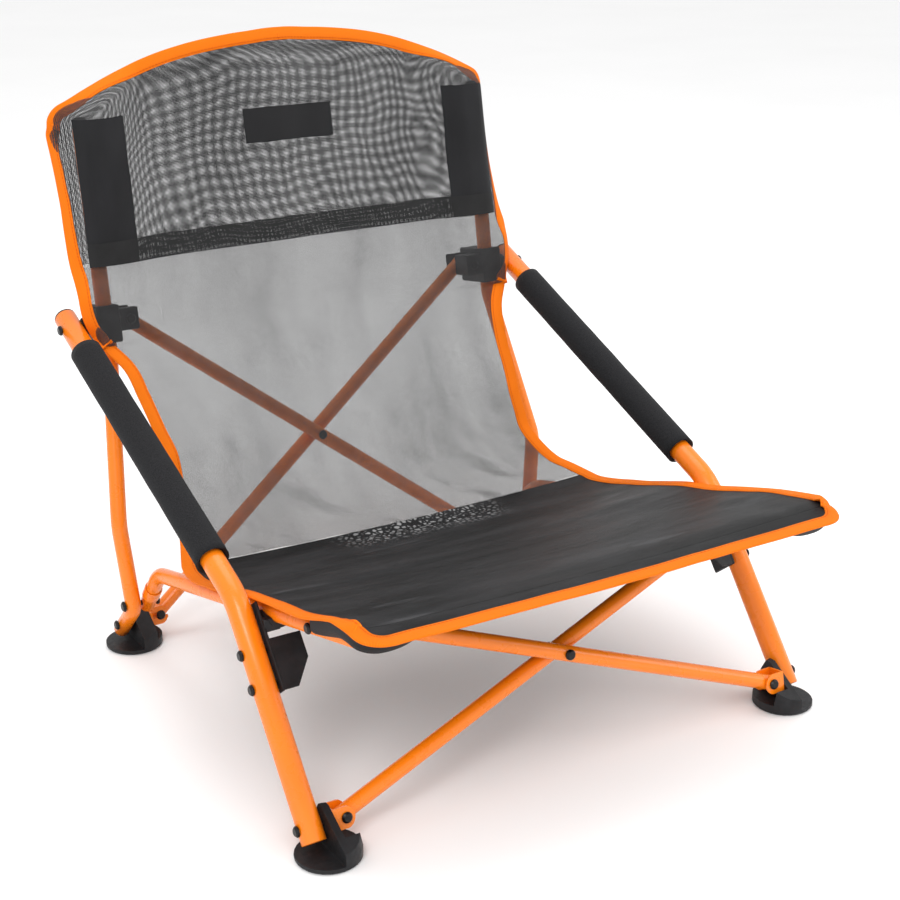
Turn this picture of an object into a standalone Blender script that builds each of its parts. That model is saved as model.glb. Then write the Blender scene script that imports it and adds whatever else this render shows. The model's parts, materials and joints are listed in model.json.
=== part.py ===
"""Low folding camp chair: a scissor-folding steel tube frame with a mesh and fabric sling.

Metres, +Z up. The sitter faces -Y, X runs across the chair, and Y = 0 is the middle of its depth.
Each side is named as seen in +Y direction: left is -X and right is +X.
"""

import math

import bmesh
import bpy
from mathutils import Matrix, Vector

# ---- Driving dimensions ----------------------------------------------------------------
MIDDLE_Y = 0.0408          # subtracted from every depth below, to put Y = 0 at the middle
GAP = 0.0003               # between pieces that touch
PLAY = 0.0006              # between pieces that slide or turn on each other

ARM_R = 0.0122             # arm and front leg tube
UPRIGHT_R = 0.009          # upright and rear leg tube
RAIL_R = 0.00875           # seat rail tube
BAR_R = 0.0083             # crossed bars

ARM_X = 0.292              # arm and front leg, one upright plane on each side
ARM_REAR = (0.3404, 0.3815)    # Y, Z of the arm's rear end
ARM_KNEE = (-0.079, 0.206)     # where the arm turns down into the front leg
LEG_END = (-0.2290, 0.0145)    # lower end of the front leg
ARM_BEND_R = 0.075
ARM_PIVOT = (0.322, 0.3738)    # arm on hub

LEAN = 0.17                # backward slope of the uprights and of the rear crossed bars
HUB_Z = 0.375
UPRIGHT_X = 0.2535
UPRIGHT_Y = 0.3187         # at HUB_Z
UPRIGHT_TOP_Z = 0.588
UPRIGHT_BEND_Z = 0.340
KNEE = (0.281, 0.249, 0.161)
HEEL = (0.2722, 0.2436, 0.0585)
REAR_END = (0.2722, 0.2875, 0.0150)

REAR_PIVOT_X = 0.228       # rear crossed bars, both ends
REAR_LOW_Z = 0.027
REAR_TOP_Y = 0.336         # at HUB_Z
FRONT_LOW = (0.2565, -0.2255, 0.0290)
FRONT_TOP = (0.2330, -0.1900, 0.2120)
BAR_OFFSET = 0.0090        # of each crossed bar from the plane between the two

RAIL_PIVOT = (0.2535, 0.2450, 0.0635)
RAIL_BEND = (0.2545, 0.205, 0.112)
RAIL_FRONT = (0.264, -0.283, 0.2374)
RAIL_BEND_R = 0.045

FOOT_R = 0.0325
FRONT_FOOT = (0.2805, -0.2350)
REAR_FOOT = (0.2625, 0.2745)

GRIP_R = 0.0172
GRIP_Y = (0.2825, -0.0309)     # from its rear end to its front end
LEG_BOLT = (-0.2201, 0.0260)   # lateral bolt through front leg, foot and fork
REAR_BOLT = (0.2744, 0.0280)   # lateral bolt through rear leg, foot and fork
FRONT_CLEVIS_X = 0.2710        # outer faces of the forks' base plates
REAR_CLEVIS_X = 0.2428
FOOT_FRONT_Z = 0.0165          # height of a foot's front rim
FOOT_SLOPE = math.radians(31)  # of its top, rising backwards
FORK_ROOM = 0.0315             # from a foot's bolt to the wall in front of the fork
FORK_FLOOR_Z = 0.0105           # the feet are cut flat above this beside the forks
CLEVIS_T = 0.0022
EAR_R = 0.0095
EAR_T = 0.0050
OPEN_PLAY = 0.0030             # each side of a front bar's upper end
BAR_END = 0.0078               # of a bar past its pivot
BAR_OPEN_END = 0.0040
BOLT_R = 0.0030
BOLT_HOLE_R = 0.0034
RAIL_PIVOT_D_X = 0.2732        # the upright's axis beside the rail's pivot
SADDLE_MIDDLE = (-0.1000, 0.1660)
SADDLE_BOLTS = ((-0.1139, 0.1615), (-0.1351, 0.1345))
SADDLE_X = 0.2792
SADDLE_T = 0.0035
SADDLE_FRONT = -0.0185         # front edge of its plate, square to the leg
SADDLE_LOW = -0.056            # its lower end, along the leg
WEB_INNER_X = 0.243            # inner edge of the web in front of it

SLING_T = 0.0016
BACK_EDGE = (                  # Y, Z and half width of the back, from its top corners to the seat
    (0.378, 0.603, 0.280), (0.360, 0.540, 0.280), (0.348, 0.500, 0.280), (0.332, 0.450, 0.282),
    (0.320, 0.420, 0.282), (0.310, 0.385, 0.280), (0.302, 0.360, 0.270), (0.278, 0.330, 0.248),
    (0.258, 0.300, 0.242), (0.234, 0.270, 0.237), (0.216, 0.247, 0.233), (0.202, 0.220, 0.233),
    (0.190, 0.200, 0.2335), (0.170, 0.182, 0.240), (0.150, 0.170, 0.248), (0.130, 0.1655, 0.256),
    (0.1075, 0.1602, 0.265),
)
SEAT_EDGE = (                  # the same for the seat, from the back to its front corners
    (0.104, 0.1594, 0.266), (0.090, 0.159, 0.269), (0.060, 0.164, 0.274), (0.030, 0.172, 0.276),
    (0.000, 0.180, 0.278), (-0.060, 0.199, 0.2785), (-0.110, 0.211, 0.2785), (-0.160, 0.2245, 0.284),
    (-0.210, 0.237, 0.288), (-0.260, 0.248, 0.286), (-0.290, 0.249, 0.283), (-0.313, 0.246, 0.279),
)
BACK_ACROSS = (-1, -0.955, -0.855, -0.72, -0.5, -0.25, 0, 0.25, 0.5, 0.72, 0.855, 0.955, 1)
SEAT_ACROSS = (-1, -0.75, -0.5, -0.25, 0, 0.25, 0.5, 0.75, 1)
POCKET_Z = (0.603, 0.440)      # top corners and open lower edge of the headrest's rear layer
POCKET_INSET = 0.0035          # of its sides from the back's
ARCH_RISE = 0.072
ARCH_LEAN = 0.10
TUBE_CLEAR = 0.0130            # from the uprights' axis to the cloth in front of them
HUB_CLEAR = 0.0240
WRAP_X = (0.175, 0.238)        # where the cloth comes forward to pass the uprights
WRAP_END_X = 0.2675            # and where it starts back towards its side edges
HEAD_FORWARD = 0.008           # the middle of the headrest, from its side edges
BACK_SAG = 0.012               # the middle of the lower back
JOIN_SAG = 0.006               # the middle of the seam between back and seat
SEAT_SAG = 0.010
SIDES = (("left", -1), ("right", 1))

ORANGE = (1.0, 0.262, 0.010)
NYLON = (0.012, 0.012, 0.013)
FOAM = (0.042, 0.042, 0.045)
FABRIC = (0.016, 0.016, 0.018)


# ---- Helpers ---------------------------------------------------------------------------
def clear_scene():
    for item in list(bpy.data.objects):
        bpy.data.objects.remove(item)


def new_collection(name):
    group = bpy.data.collections.new(name)
    bpy.context.scene.collection.children.link(group)
    return group


def new_material(name, colour, roughness, metallic=0.0):
    material = bpy.data.materials.new(name)
    material.use_nodes = True
    shader = material.node_tree.nodes["Principled BSDF"]
    shader.inputs["Base Color"].default_value = (*colour, 1.0)
    shader.inputs["Roughness"].default_value = roughness
    shader.inputs["Metallic"].default_value = metallic
    return material


def place(x, y, z):
    """A point given from the driving dimensions, in the chair's frame."""
    return Vector((x, y - MIDDLE_Y, z))


def add_object(name, mesh, group, material=None):
    item = bpy.data.objects.new(name, mesh)
    group.objects.link(item)
    if material:
        mesh.materials.clear()
        mesh.materials.append(material)
    return item


def mesh_from(work, name):
    bmesh.ops.recalc_face_normals(work, faces=work.faces)
    mesh = bpy.data.meshes.new(name)
    work.to_mesh(mesh)
    work.free()
    return mesh


def evaluated_mesh(item):
    bpy.context.view_layer.update()
    graph = bpy.context.evaluated_depsgraph_get()
    return bpy.data.meshes.new_from_object(item.evaluated_get(graph))


def frame_along(start, end):
    """A matrix with its Z axis from start to end, and its origin at start."""
    turn = (end - start).to_track_quat("Z", "Y")
    return Matrix.Translation(start) @ turn.to_matrix().to_4x4()


def rounded_path(corners, radius, steps=5):
    """The corners joined by straight runs, each inner corner replaced by an arc."""
    points = [corners[0]]
    for before, corner, after in zip(corners, corners[1:], corners[2:]):
        come = (corner - before).normalized()
        leave = (after - corner).normalized()
        turn = come.angle(leave)
        reach = radius * math.tan(turn / 2)
        count = max(2, round(steps * turn / 0.8))
        centre = corner + (leave - come).normalized() * (radius / math.cos(turn / 2))
        first = corner - come * reach - centre
        axis = come.cross(leave).normalized()
        for index in range(count + 1):
            points.append(centre + Matrix.Rotation(turn * index / count, 3, axis) @ first)
    points.append(corners[-1])
    return points


def tube_mesh(name, points, radius, smooth_sides=4):
    """A solid round bar along the points, as a mesh with welded end caps."""
    curve = bpy.data.curves.new(name, "CURVE")
    curve.dimensions = "3D"
    curve.bevel_depth = radius
    curve.bevel_resolution = smooth_sides
    curve.use_fill_caps = True
    spline = curve.splines.new("POLY")
    spline.points.add(len(points) - 1)
    for target, point in zip(spline.points, points):
        target.co = (*point, 1.0)
    guide = bpy.data.objects.new(name + "_curve", curve)
    bpy.context.scene.collection.objects.link(guide)
    mesh = evaluated_mesh(guide)
    bpy.data.objects.remove(guide)
    bpy.data.curves.remove(curve)
    work = bmesh.new()
    work.from_mesh(mesh)
    bmesh.ops.remove_doubles(work, verts=work.verts, dist=0.00002)
    return mesh_from(work, name)


def cylinder_mesh(name, start, end, radius, segments=16, end_radius=None):
    work = bmesh.new()
    length = (end - start).length
    bmesh.ops.create_cone(
        work, cap_ends=True, segments=segments, radius1=radius,
        radius2=radius if end_radius is None else end_radius, depth=length,
        matrix=frame_along(start, end) @ Matrix.Translation((0, 0, length / 2)),
    )
    return mesh_from(work, name)


def box_mesh(name, low, high, matrix=Matrix(), bevel=0.0):
    work = bmesh.new()
    low, high = Vector(low), Vector(high)
    bmesh.ops.create_cube(work, size=1.0)
    bmesh.ops.scale(work, verts=work.verts, vec=high - low)
    bmesh.ops.translate(work, verts=work.verts, vec=(low + high) / 2)
    if bevel:
        bmesh.ops.bevel(work, geom=work.edges[:], offset=bevel, segments=1, affect="EDGES")
    bmesh.ops.transform(work, matrix=matrix, verts=work.verts)
    return mesh_from(work, name)


def turned_mesh(name, profile, matrix, segments=20):
    """A closed turned solid. The profile holds radius and height, and starts and ends on the axis
    or, for a ring, comes back to its first point."""
    work = bmesh.new()
    points = [Vector((radius, 0.0, height)) for radius, height in profile]
    verts = [work.verts.new(point) for point in points]
    edges = [work.edges.new(pair) for pair in zip(verts, verts[1:])]
    bmesh.ops.spin(
        work, geom=verts + edges, cent=(0, 0, 0), axis=(0, 0, 1),
        angle=2 * math.pi, steps=segments, use_merge=True,
    )
    bmesh.ops.remove_doubles(work, verts=work.verts, dist=0.00002)
    bmesh.ops.transform(work, matrix=matrix, verts=work.verts)
    return mesh_from(work, name)


def outline_mesh(name, outline, thickness, matrix):
    """A flat outline in the local XY plane, centred on it and extruded along local Z."""
    work = bmesh.new()
    verts = [work.verts.new((x, y, -thickness / 2)) for x, y in outline]
    face = work.faces.new(verts)
    grown = bmesh.ops.extrude_face_region(work, geom=[face])
    moved = [part for part in grown["geom"] if isinstance(part, bmesh.types.BMVert)]
    bmesh.ops.translate(work, verts=moved, vec=(0, 0, thickness))
    bmesh.ops.transform(work, matrix=matrix, verts=work.verts)
    return mesh_from(work, name)


def combine(item, operation, *meshes):
    """Joins or cuts the object with each mesh in turn, with the exact Boolean."""
    for index, mesh in enumerate(meshes):
        tool = add_object(f"{item.name}_{operation.lower()}_{index}", mesh, CUTTERS)
        tool.hide_render = True
        tool.display_type = "WIRE"
        step = item.modifiers.new("combine", "BOOLEAN")
        step.operation = operation
        step.object = tool
        step.solver = "EXACT"
        material = item.data.materials[0] if item.data.materials else None
        mesh_after = evaluated_mesh(item)
        item.modifiers.clear()
        item.data = mesh_after
        item.data.materials.clear()
        if material:
            item.data.materials.append(material)
        bpy.data.objects.remove(tool)
    return item


def smooth(item, angle=0.6):
    item.data.shade_smooth()
    item.data.set_sharp_from_angle(angle=angle)
    return item


def pivot_at(item, point):
    """Moves the object's origin to a joint's axis, and leaves its shape where it is."""
    item.data.transform(Matrix.Translation(-point))
    item.location = point
    return item


# ---- Frame directions ------------------------------------------------------------------
def lean_point(side, x, y_at_hub, z, offset=0.0):
    """A point on a plane that leans back like the uprights; offset moves it along the normal."""
    point = place(side * x, y_at_hub + LEAN * (z - HUB_Z), z)
    return point + REAR_NORMAL * offset


REAR_UP = Vector((0, LEAN, 1)).normalized()
REAR_NORMAL = Vector((0, 1, -LEAN)).normalized()
FRONT_UP = Vector((0, FRONT_TOP[1] - FRONT_LOW[1], FRONT_TOP[2] - FRONT_LOW[2])).normalized()
FRONT_NORMAL = Vector((0, FRONT_UP.z, -FRONT_UP.y))
ACROSS = Vector((1, 0, 0))
UPRIGHT_OUTLINE = Matrix.Rotation(math.pi / 2, 4, "X")     # an outline's Y axis becomes Z


# ---- Pieces of each side ---------------------------------------------------------------
def make_upright(name, side):
    straight = [
        lean_point(side, UPRIGHT_X, UPRIGHT_Y, UPRIGHT_TOP_Z),
        lean_point(side, UPRIGHT_X, UPRIGHT_Y, UPRIGHT_BEND_Z),
    ]
    lower = [place(side * x, y, z) for x, y, z in (KNEE, HEEL, REAR_END)]
    path = rounded_path(straight + lower[:1], 0.050)[:-1]
    path += rounded_path([straight[1]] + lower[:2], 0.060)[1:-1]
    path += rounded_path(lower, 0.022)[1:]
    item = add_object(f"{name}_upright_tube", tube_mesh("upright", path, UPRIGHT_R), PARTS, PAINTED)
    for y, z in (RAIL_PIVOT[1:], REAR_BOLT):
        hole = place(side * REAR_END[0], y, z)
        drill = cylinder_mesh("drill", hole - ACROSS * 0.04, hole + ACROSS * 0.04, BOLT_HOLE_R, 10)
        combine(item, "DIFFERENCE", drill)
    smooth(item)
    top = straight[0] + REAR_UP * GAP
    profile = [(0, 0), (0.0087, 0), (0.0087, 0.006), (0.006, 0.0105), (0, 0.0118)]
    cap = turned_mesh("upright_cap", profile, frame_along(top, top + REAR_UP), 14)
    smooth(add_object(f"{name}_upright_cap", cap, PARTS, BLACK_NYLON))


def make_clevis(name, side, pivot, normal, bolt, sheet=0.0022, height=0.022, play=PLAY, ears=(-1, 1)):
    """A bent sheet fork around a bar's end: a base plate across X with a round lug at bolt, and two ears."""
    up = normal.cross(ACROSS)
    up = -up if up.z < 0 else up
    local = Matrix((ACROSS, normal, up)).transposed().to_4x4()
    local.translation = Vector((0, pivot.y, pivot.z))
    tip = abs(pivot.x) - EAR_R
    back = abs(bolt.x)
    half = BAR_R + play + sheet
    x_low, x_high = sorted((side * tip, side * back))
    item = add_object(
        name, box_mesh(name, (x_low, -half, -height / 2), (x_high, half, height / 2), local),
        PARTS, PAINTED,
    )
    x_low, x_high = sorted((side * (tip - 0.01), side * (back - sheet)))
    open_to = half - sheet if len(ears) == 2 else half + sheet
    inside = box_mesh("inside", (x_low, sheet - half, -height), (x_high, open_to, height), local)
    waste = outline_mesh("waste", ear_waste(side, abs(pivot.x)), half * 3, local @ UPRIGHT_OUTLINE)
    drill = cylinder_mesh("drill", pivot - normal * 0.05, pivot + normal * 0.05, BOLT_HOLE_R, 10)
    combine(item, "DIFFERENCE", inside, waste, drill)
    lug = cylinder_mesh("lug", bolt - ACROSS * side * sheet, bolt, 0.0075, 16)
    combine(item, "UNION", lug)
    hole = cylinder_mesh("hole", bolt - ACROSS * 0.03, bolt + ACROSS * 0.03, BOLT_HOLE_R, 10)
    combine(item, "DIFFERENCE", hole)
    return smooth(item, 0.5)


def ear_waste(side, pivot_x):
    """What is cut from a fork's square ears to round them, in local X and up."""
    arc = []
    for step in range(9):
        angle = math.pi / 2 + math.pi * step / 8
        arc.append((side * (pivot_x + EAR_R * math.cos(angle)), 0.0112 * math.sin(angle)))
    start, far, top = side * pivot_x, side * (pivot_x - EAR_R - 0.02), 0.03
    return [(start, top)] + arc + [(start, -top), (far, -top), (far, top)]


def make_bar(name, start, end, normal, beyond_start, beyond_end, holes):
    """One crossed bar, from its lower pivot to its upper one, drilled where its bolts pass."""
    along = (end - start).normalized()
    mesh = tube_mesh(name, [start - along * beyond_start, end + along * beyond_end], BAR_R)
    item = add_object(name, mesh, PARTS, PAINTED)
    for point in holes:
        drill = cylinder_mesh("drill", point - normal * 0.03, point + normal * 0.03, BOLT_HOLE_R, 10)
        combine(item, "DIFFERENCE", drill)
    return pivot_at(smooth(item), start)


def make_bolt(name, start, end, nut=True, radius=BOLT_R, head_radius=0.0056):
    """A pin from start to end, with a domed head before start and, if nut, another past the end."""
    length = (end - start).length
    profile = [
        (0, -0.0036), (head_radius * 0.7, -0.0036), (head_radius, -0.0018), (head_radius, -GAP),
        (radius, -GAP), (radius, length),
    ]
    if nut:
        profile[-1] = (radius, length + GAP)
        profile += [(head_radius, length + GAP), (head_radius, length + 0.0028)]
        profile += [(0, length + 0.0036)]
    else:
        profile += [(0, length)]
    mesh = turned_mesh(name, profile, frame_along(start, end), 12)
    return smooth(add_object(name, mesh, PARTS, BLACK_STEEL), 0.5)


def make_hub(name, side, bar):
    """The sliding block on an upright: a bored body, a boss for the arm and two ears for a bar."""
    middle = lean_point(side, UPRIGHT_X, UPRIGHT_Y, HUB_Z)
    local = Matrix((ACROSS, REAR_NORMAL, REAR_UP)).transposed().to_4x4()
    local.translation = Vector((0, middle.y, middle.z))
    bar_y = (bar - middle).dot(REAR_NORMAL)
    bar_z = (bar - middle).dot(REAR_UP)
    front, rear = -0.0145, bar_y + BAR_R + PLAY + EAR_T
    x_low, x_high = sorted((side * (UPRIGHT_X - 0.0130), side * (UPRIGHT_X + 0.0140)))
    item = add_object(
        name, box_mesh(name, (x_low, front, -0.021), (x_high, rear, 0.021), local, 0.0015),
        PARTS, BLACK_NYLON,
    )
    pivot = place(side * UPRIGHT_X, *ARM_PIVOT)
    boss_end = place(side * (ARM_X - ARM_R - PLAY), *ARM_PIVOT)
    combine(item, "UNION", cylinder_mesh("boss", pivot, boss_end, 0.0105, 16))
    x_low, x_high = sorted((side * (REAR_PIVOT_X - EAR_R), side * (UPRIGHT_X - 0.010)))
    for y_low, y_high in ((front + 0.002, bar_y - BAR_R - PLAY), (bar_y + BAR_R + PLAY, rear - 0.001)):
        ear = box_mesh("ear", (x_low, y_low, bar_z - 0.0125), (x_high, y_high, bar_z + 0.0125), local, 0.001)
        combine(item, "UNION", ear)
    bore = cylinder_mesh(
        "bore", middle - REAR_UP * 0.06, middle + REAR_UP * 0.06, UPRIGHT_R + 0.0004, 24,
    )
    drill = cylinder_mesh("drill", bar - REAR_NORMAL * 0.08, bar + REAR_NORMAL * 0.05, BOLT_HOLE_R, 10)
    arm_hole = cylinder_mesh(
        "arm_hole", pivot + ACROSS * side * (UPRIGHT_R + 0.003), boss_end + ACROSS * side * 0.01,
        BOLT_HOLE_R, 10,
    )
    combine(item, "DIFFERENCE", bore, drill, arm_hole)
    pivot_at(smooth(item, 0.4), bar)
    front_face = middle + REAR_NORMAL * (front + 0.002)
    rear_face = middle + REAR_NORMAL * (rear - 0.001)
    level = ACROSS * (bar.x - middle.x) + REAR_UP * bar_z
    make_bolt(f"{name}_bolt", front_face + level, rear_face + level)


def make_arm(name, side):
    """The arm and front leg, one bent tube, with its end plug, foam grip and saddle for the seat rail."""
    x = side * ARM_X
    corners = [place(x, *point) for point in (ARM_REAR, ARM_KNEE, LEG_END)]
    path = rounded_path(corners, ARM_BEND_R, 8)
    item = add_object(f"{name}_arm_tube", tube_mesh("arm", path, ARM_R, 6), PARTS, PAINTED)
    holes = [ARM_PIVOT, LEG_BOLT, *SADDLE_BOLTS]
    for y, z in holes:
        point = place(x, y, z)
        drill = cylinder_mesh("drill", point - ACROSS * 0.03, point + ACROSS * 0.03, BOLT_HOLE_R, 10)
        combine(item, "DIFFERENCE", drill)
    pivot_at(smooth(item), place(x, *ARM_PIVOT))
    down = (corners[1] - corners[0]).normalized()
    seat = frame_along(corners[0] - down * GAP, corners[0] - down)
    profile = [(0, 0), (ARM_R, 0), (ARM_R, 0.0015), (ARM_R * 0.8, 0.0034), (0, 0.0044)]
    smooth(add_object(f"{name}_arm_cap", turned_mesh("cap", profile, seat, 16), PARTS, BLACK_NYLON))
    grip_start = corners[0] + down * ((ARM_REAR[0] - GRIP_Y[0]) / -down.y)
    grip_end = corners[0] + down * ((ARM_REAR[0] - GRIP_Y[1]) / -down.y)
    length = (grip_end - grip_start).length
    bore, round_off = ARM_R + 0.0004, 0.003
    profile = [
        (bore, 0), (GRIP_R - round_off, 0), (GRIP_R, round_off), (GRIP_R, length - round_off),
        (GRIP_R - round_off, length), (bore, length), (bore, 0),
    ]
    grip = turned_mesh("grip", profile, frame_along(grip_start, grip_end), 18)
    smooth(add_object(f"{name}_arm_grip", grip, PARTS, GREY_FOAM))
    make_saddle(name, side)
    for number, (y, z) in enumerate(SADDLE_BOLTS, 1):
        outer = place(side * (ARM_X + ARM_R), y, z)
        inner = place(side * (SADDLE_X - SADDLE_T), y, z)
        make_bolt(f"{name}_saddle_bolt_{number}", outer, inner)
    make_bolt(
        f"{name}_arm_pivot_bolt", place(side * (ARM_X + ARM_R), *ARM_PIVOT),
        place(side * (UPRIGHT_X + UPRIGHT_R + 0.0045), *ARM_PIVOT), nut=False,
    )


def make_saddle(name, side):
    """The black plate on the leg's inner side, with the open cradle that the seat rail rests in."""
    along = (Vector((0, *ARM_KNEE)) - Vector((0, *LEG_END))).normalized()
    across = Vector((0, along.z, -along.y))
    middle = place(0, *SADDLE_MIDDLE)
    local = Matrix((ACROSS, across, along)).transposed().to_4x4()
    local.translation = middle
    x_low, x_high = sorted((side * SADDLE_X, side * (SADDLE_X - SADDLE_T)))
    plate = box_mesh(
        f"{name}_saddle", (x_low, SADDLE_FRONT, SADDLE_LOW), (x_high, 0.019, 0.034), local, 0.0012,
    )
    item = add_object(f"{name}_saddle", plate, PARTS, BLACK_NYLON)
    x_low, x_high = sorted((side * (SADDLE_X - 0.0010), side * WEB_INNER_X))
    web = box_mesh(
        "web", (x_low, SADDLE_FRONT + 0.0007, SADDLE_LOW + 0.0007),
        (x_high, SADDLE_FRONT + SADDLE_T, -0.004), local, 0.0004,
    )
    combine(item, "UNION", web)
    high = Vector((side * WEB_INNER_X, 0, -0.030))
    low = Vector((side * (WEB_INNER_X + 0.019), 0, SADDLE_LOW))
    down = (low - high).normalized()
    out = Vector((side * down.z, 0, -side * down.x))
    taper = Matrix((out, down.cross(out), down)).transposed().to_4x4()
    taper.translation = (low + high) / 2
    combine(item, "DIFFERENCE", box_mesh("taper", (0, -0.03, -0.03), (0.03, 0.03, 0.03), local @ taper))
    rail_way = (rail_point(side, -0.12) - rail_point(side, -0.06)).normalized()
    seat = rail_point(side, SADDLE_MIDDLE[0])
    half = 0.011
    cradle = cylinder_mesh("cradle", seat - rail_way * half, seat + rail_way * half, RAIL_R + 0.0044, 20)
    block = box_mesh(
        "block", (min(seat.x, side * (SADDLE_X - 0.001)), seat.y - half, seat.z - RAIL_R - 0.0044),
        (max(seat.x, side * (SADDLE_X - 0.001)), seat.y + half, seat.z), bevel=0.0008,
    )
    combine(item, "UNION", cradle, block)
    trough = cylinder_mesh("trough", seat - rail_way * 0.05, seat + rail_way * 0.05, RAIL_R + PLAY, 20)
    above = box_mesh(
        "above", (seat.x - RAIL_R - 0.0075, seat.y - 0.04, seat.z + 0.0005),
        (seat.x + RAIL_R + 0.0075, seat.y + 0.04, seat.z + 0.06),
    )
    combine(item, "DIFFERENCE", trough, above)
    for y, z in SADDLE_BOLTS:
        point = place(side * SADDLE_X, y, z)
        drill = cylinder_mesh("drill", point - ACROSS * 0.02, point + ACROSS * 0.02, BOLT_HOLE_R, 10)
        combine(item, "DIFFERENCE", drill)
    return smooth(item, 0.4)


def rail_point(side, y):
    """A point on the straight part of the seat rail's axis."""
    share = (RAIL_BEND[1] - y) / (RAIL_BEND[1] - RAIL_FRONT[1])
    x = RAIL_BEND[0] + share * (RAIL_FRONT[0] - RAIL_BEND[0])
    z = RAIL_BEND[2] + share * (RAIL_FRONT[2] - RAIL_BEND[2])
    return place(side * x, y, z)


def make_rail(name, side):
    pivot = place(side * RAIL_PIVOT[0], RAIL_PIVOT[1], RAIL_PIVOT[2])
    bend = place(side * RAIL_BEND[0], RAIL_BEND[1], RAIL_BEND[2])
    front = place(side * RAIL_FRONT[0], RAIL_FRONT[1], RAIL_FRONT[2])
    start = pivot - (bend - pivot).normalized() * 0.010
    item = add_object(
        f"{name}_seat_rail", tube_mesh("rail", rounded_path([start, bend, front], RAIL_BEND_R, 6), RAIL_R),
        PARTS, PAINTED,
    )
    bracket = bracket_bolt(side)
    for point in (pivot, bracket):
        drill = cylinder_mesh("drill", point - ACROSS * 0.03, point + ACROSS * 0.03, BOLT_HOLE_R, 10)
        combine(item, "DIFFERENCE", drill)
    pivot_at(smooth(item), pivot)
    along = (bend - pivot).normalized()
    profile = [
        (RAIL_R + GAP, 0), (RAIL_R + 0.0013, 0), (RAIL_R + 0.0013, 0.017), (RAIL_R + GAP, 0.017),
        (RAIL_R + GAP, 0),
    ]
    sleeve_start = pivot + along * 0.014
    sleeve = turned_mesh("sleeve", profile, frame_along(sleeve_start, sleeve_start + along), 18)
    smooth(add_object(f"{name}_rail_sleeve", sleeve, PARTS, PAINTED))
    make_bolt(
        f"{name}_rail_pivot_bolt", place(side * (RAIL_PIVOT_D_X + UPRIGHT_R), *RAIL_PIVOT[1:]),
        place(side * (RAIL_PIVOT[0] - RAIL_R), *RAIL_PIVOT[1:]), head_radius=0.0062,
    )


def bracket_bolt(side):
    point = rail_point(side, FRONT_TOP[1])
    return point


def make_foot(name, side, centre, tube_x, tube_r, flat_x, bolt):
    """A round foot that slopes down forwards, open on its outer side where the tube stands."""
    middle = place(side * centre[0], centre[1], 0.0)
    profile = [
        (0, 0), (FOOT_R - 0.0015, 0), (FOOT_R, 0.0015), (FOOT_R, 0.0125), (FOOT_R - 0.0035, 0.0310),
        (0.0230, 0.0425), (0.0215, 0.0445), (0, 0.0445),
    ]
    item = add_object(
        name, turned_mesh(name, profile, Matrix.Translation(middle), 28), PARTS, BLACK_NYLON,
    )
    x_low, x_high = sorted((side * (tube_x - tube_r - PLAY), side * (tube_x + 0.05)))
    slot = box_mesh("slot", (x_low, middle.y - 0.05, 0.0052), (x_high, middle.y + 0.05, 0.06))
    x_low, x_high = sorted((side * (flat_x + PLAY), side * (flat_x - 0.05)))
    flat = box_mesh("flat", (x_low, bolt.y - FORK_ROOM, FORK_FLOOR_Z), (x_high, middle.y + 0.05, 0.06))
    drill = cylinder_mesh("drill", bolt - ACROSS * 0.05, bolt + ACROSS * 0.05, BOLT_HOLE_R, 10)
    slope = Matrix.Translation(middle + Vector((0, -FOOT_R, FOOT_FRONT_Z)))
    slope = slope @ Matrix.Rotation(FOOT_SLOPE, 4, "X")
    above = box_mesh("above", (-0.05, -0.05, 0), (0.05, 0.10, 0.06), slope)
    combine(item, "DIFFERENCE", slot, flat, drill, above)
    return smooth(item, 0.45)


# ---- The sling -------------------------------------------------------------------------
def sling_sheet(name, rows, acrosses, point_at, material):
    """A thin closed sheet over the grid that point_at gives, for shares of 0 to 1 and -1 to 1."""
    work = bmesh.new()
    grid = []
    for row in range(rows + 1):
        grid.append([work.verts.new(point_at(row / rows, across)) for across in acrosses])
    for row in range(rows):
        for col in range(len(acrosses) - 1):
            work.faces.new((
                grid[row][col], grid[row][col + 1], grid[row + 1][col + 1], grid[row + 1][col],
            ))
    item = add_object(name, mesh_from(work, name), PARTS, material)
    shell = item.modifiers.new("thickness", "SOLIDIFY")
    shell.thickness = SLING_T
    shell.offset = 0
    return smooth(item, 0.8)


def along_line(points, share):
    """The point at this share of a line's whole length, on a smooth curve through its points."""
    lengths = [0.0]
    for first, second in zip(points, points[1:]):
        lengths.append(lengths[-1] + math.dist(first, second))
    target = share * lengths[-1]
    index = 0
    while index < len(points) - 2 and target > lengths[index + 1]:
        index += 1
    t = (target - lengths[index]) / (lengths[index + 1] - lengths[index])
    p1, p2 = Vector(points[index]), Vector(points[index + 1])
    p0 = Vector(points[index - 1]) if index else 2 * p1 - p2
    p3 = Vector(points[index + 2]) if index + 2 < len(points) else 2 * p2 - p1
    return 0.5 * (
        2 * p1 + (p2 - p0) * t + (2 * p0 - 5 * p1 + 4 * p2 - p3) * t ** 2
        + (3 * p1 - p0 - 3 * p2 + p3) * t ** 3
    )


def eased(value, low, high):
    """0 below low, 1 above high, and a smooth step between."""
    share = min(1.0, max(0.0, (value - low) / (high - low)))
    return share * share * (3 - 2 * share)


def upright_y(z):
    return UPRIGHT_Y + (z - HUB_Z) * LEAN


def arch(across):
    return ARCH_RISE * (1 - abs(across) ** 2.2)


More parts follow.
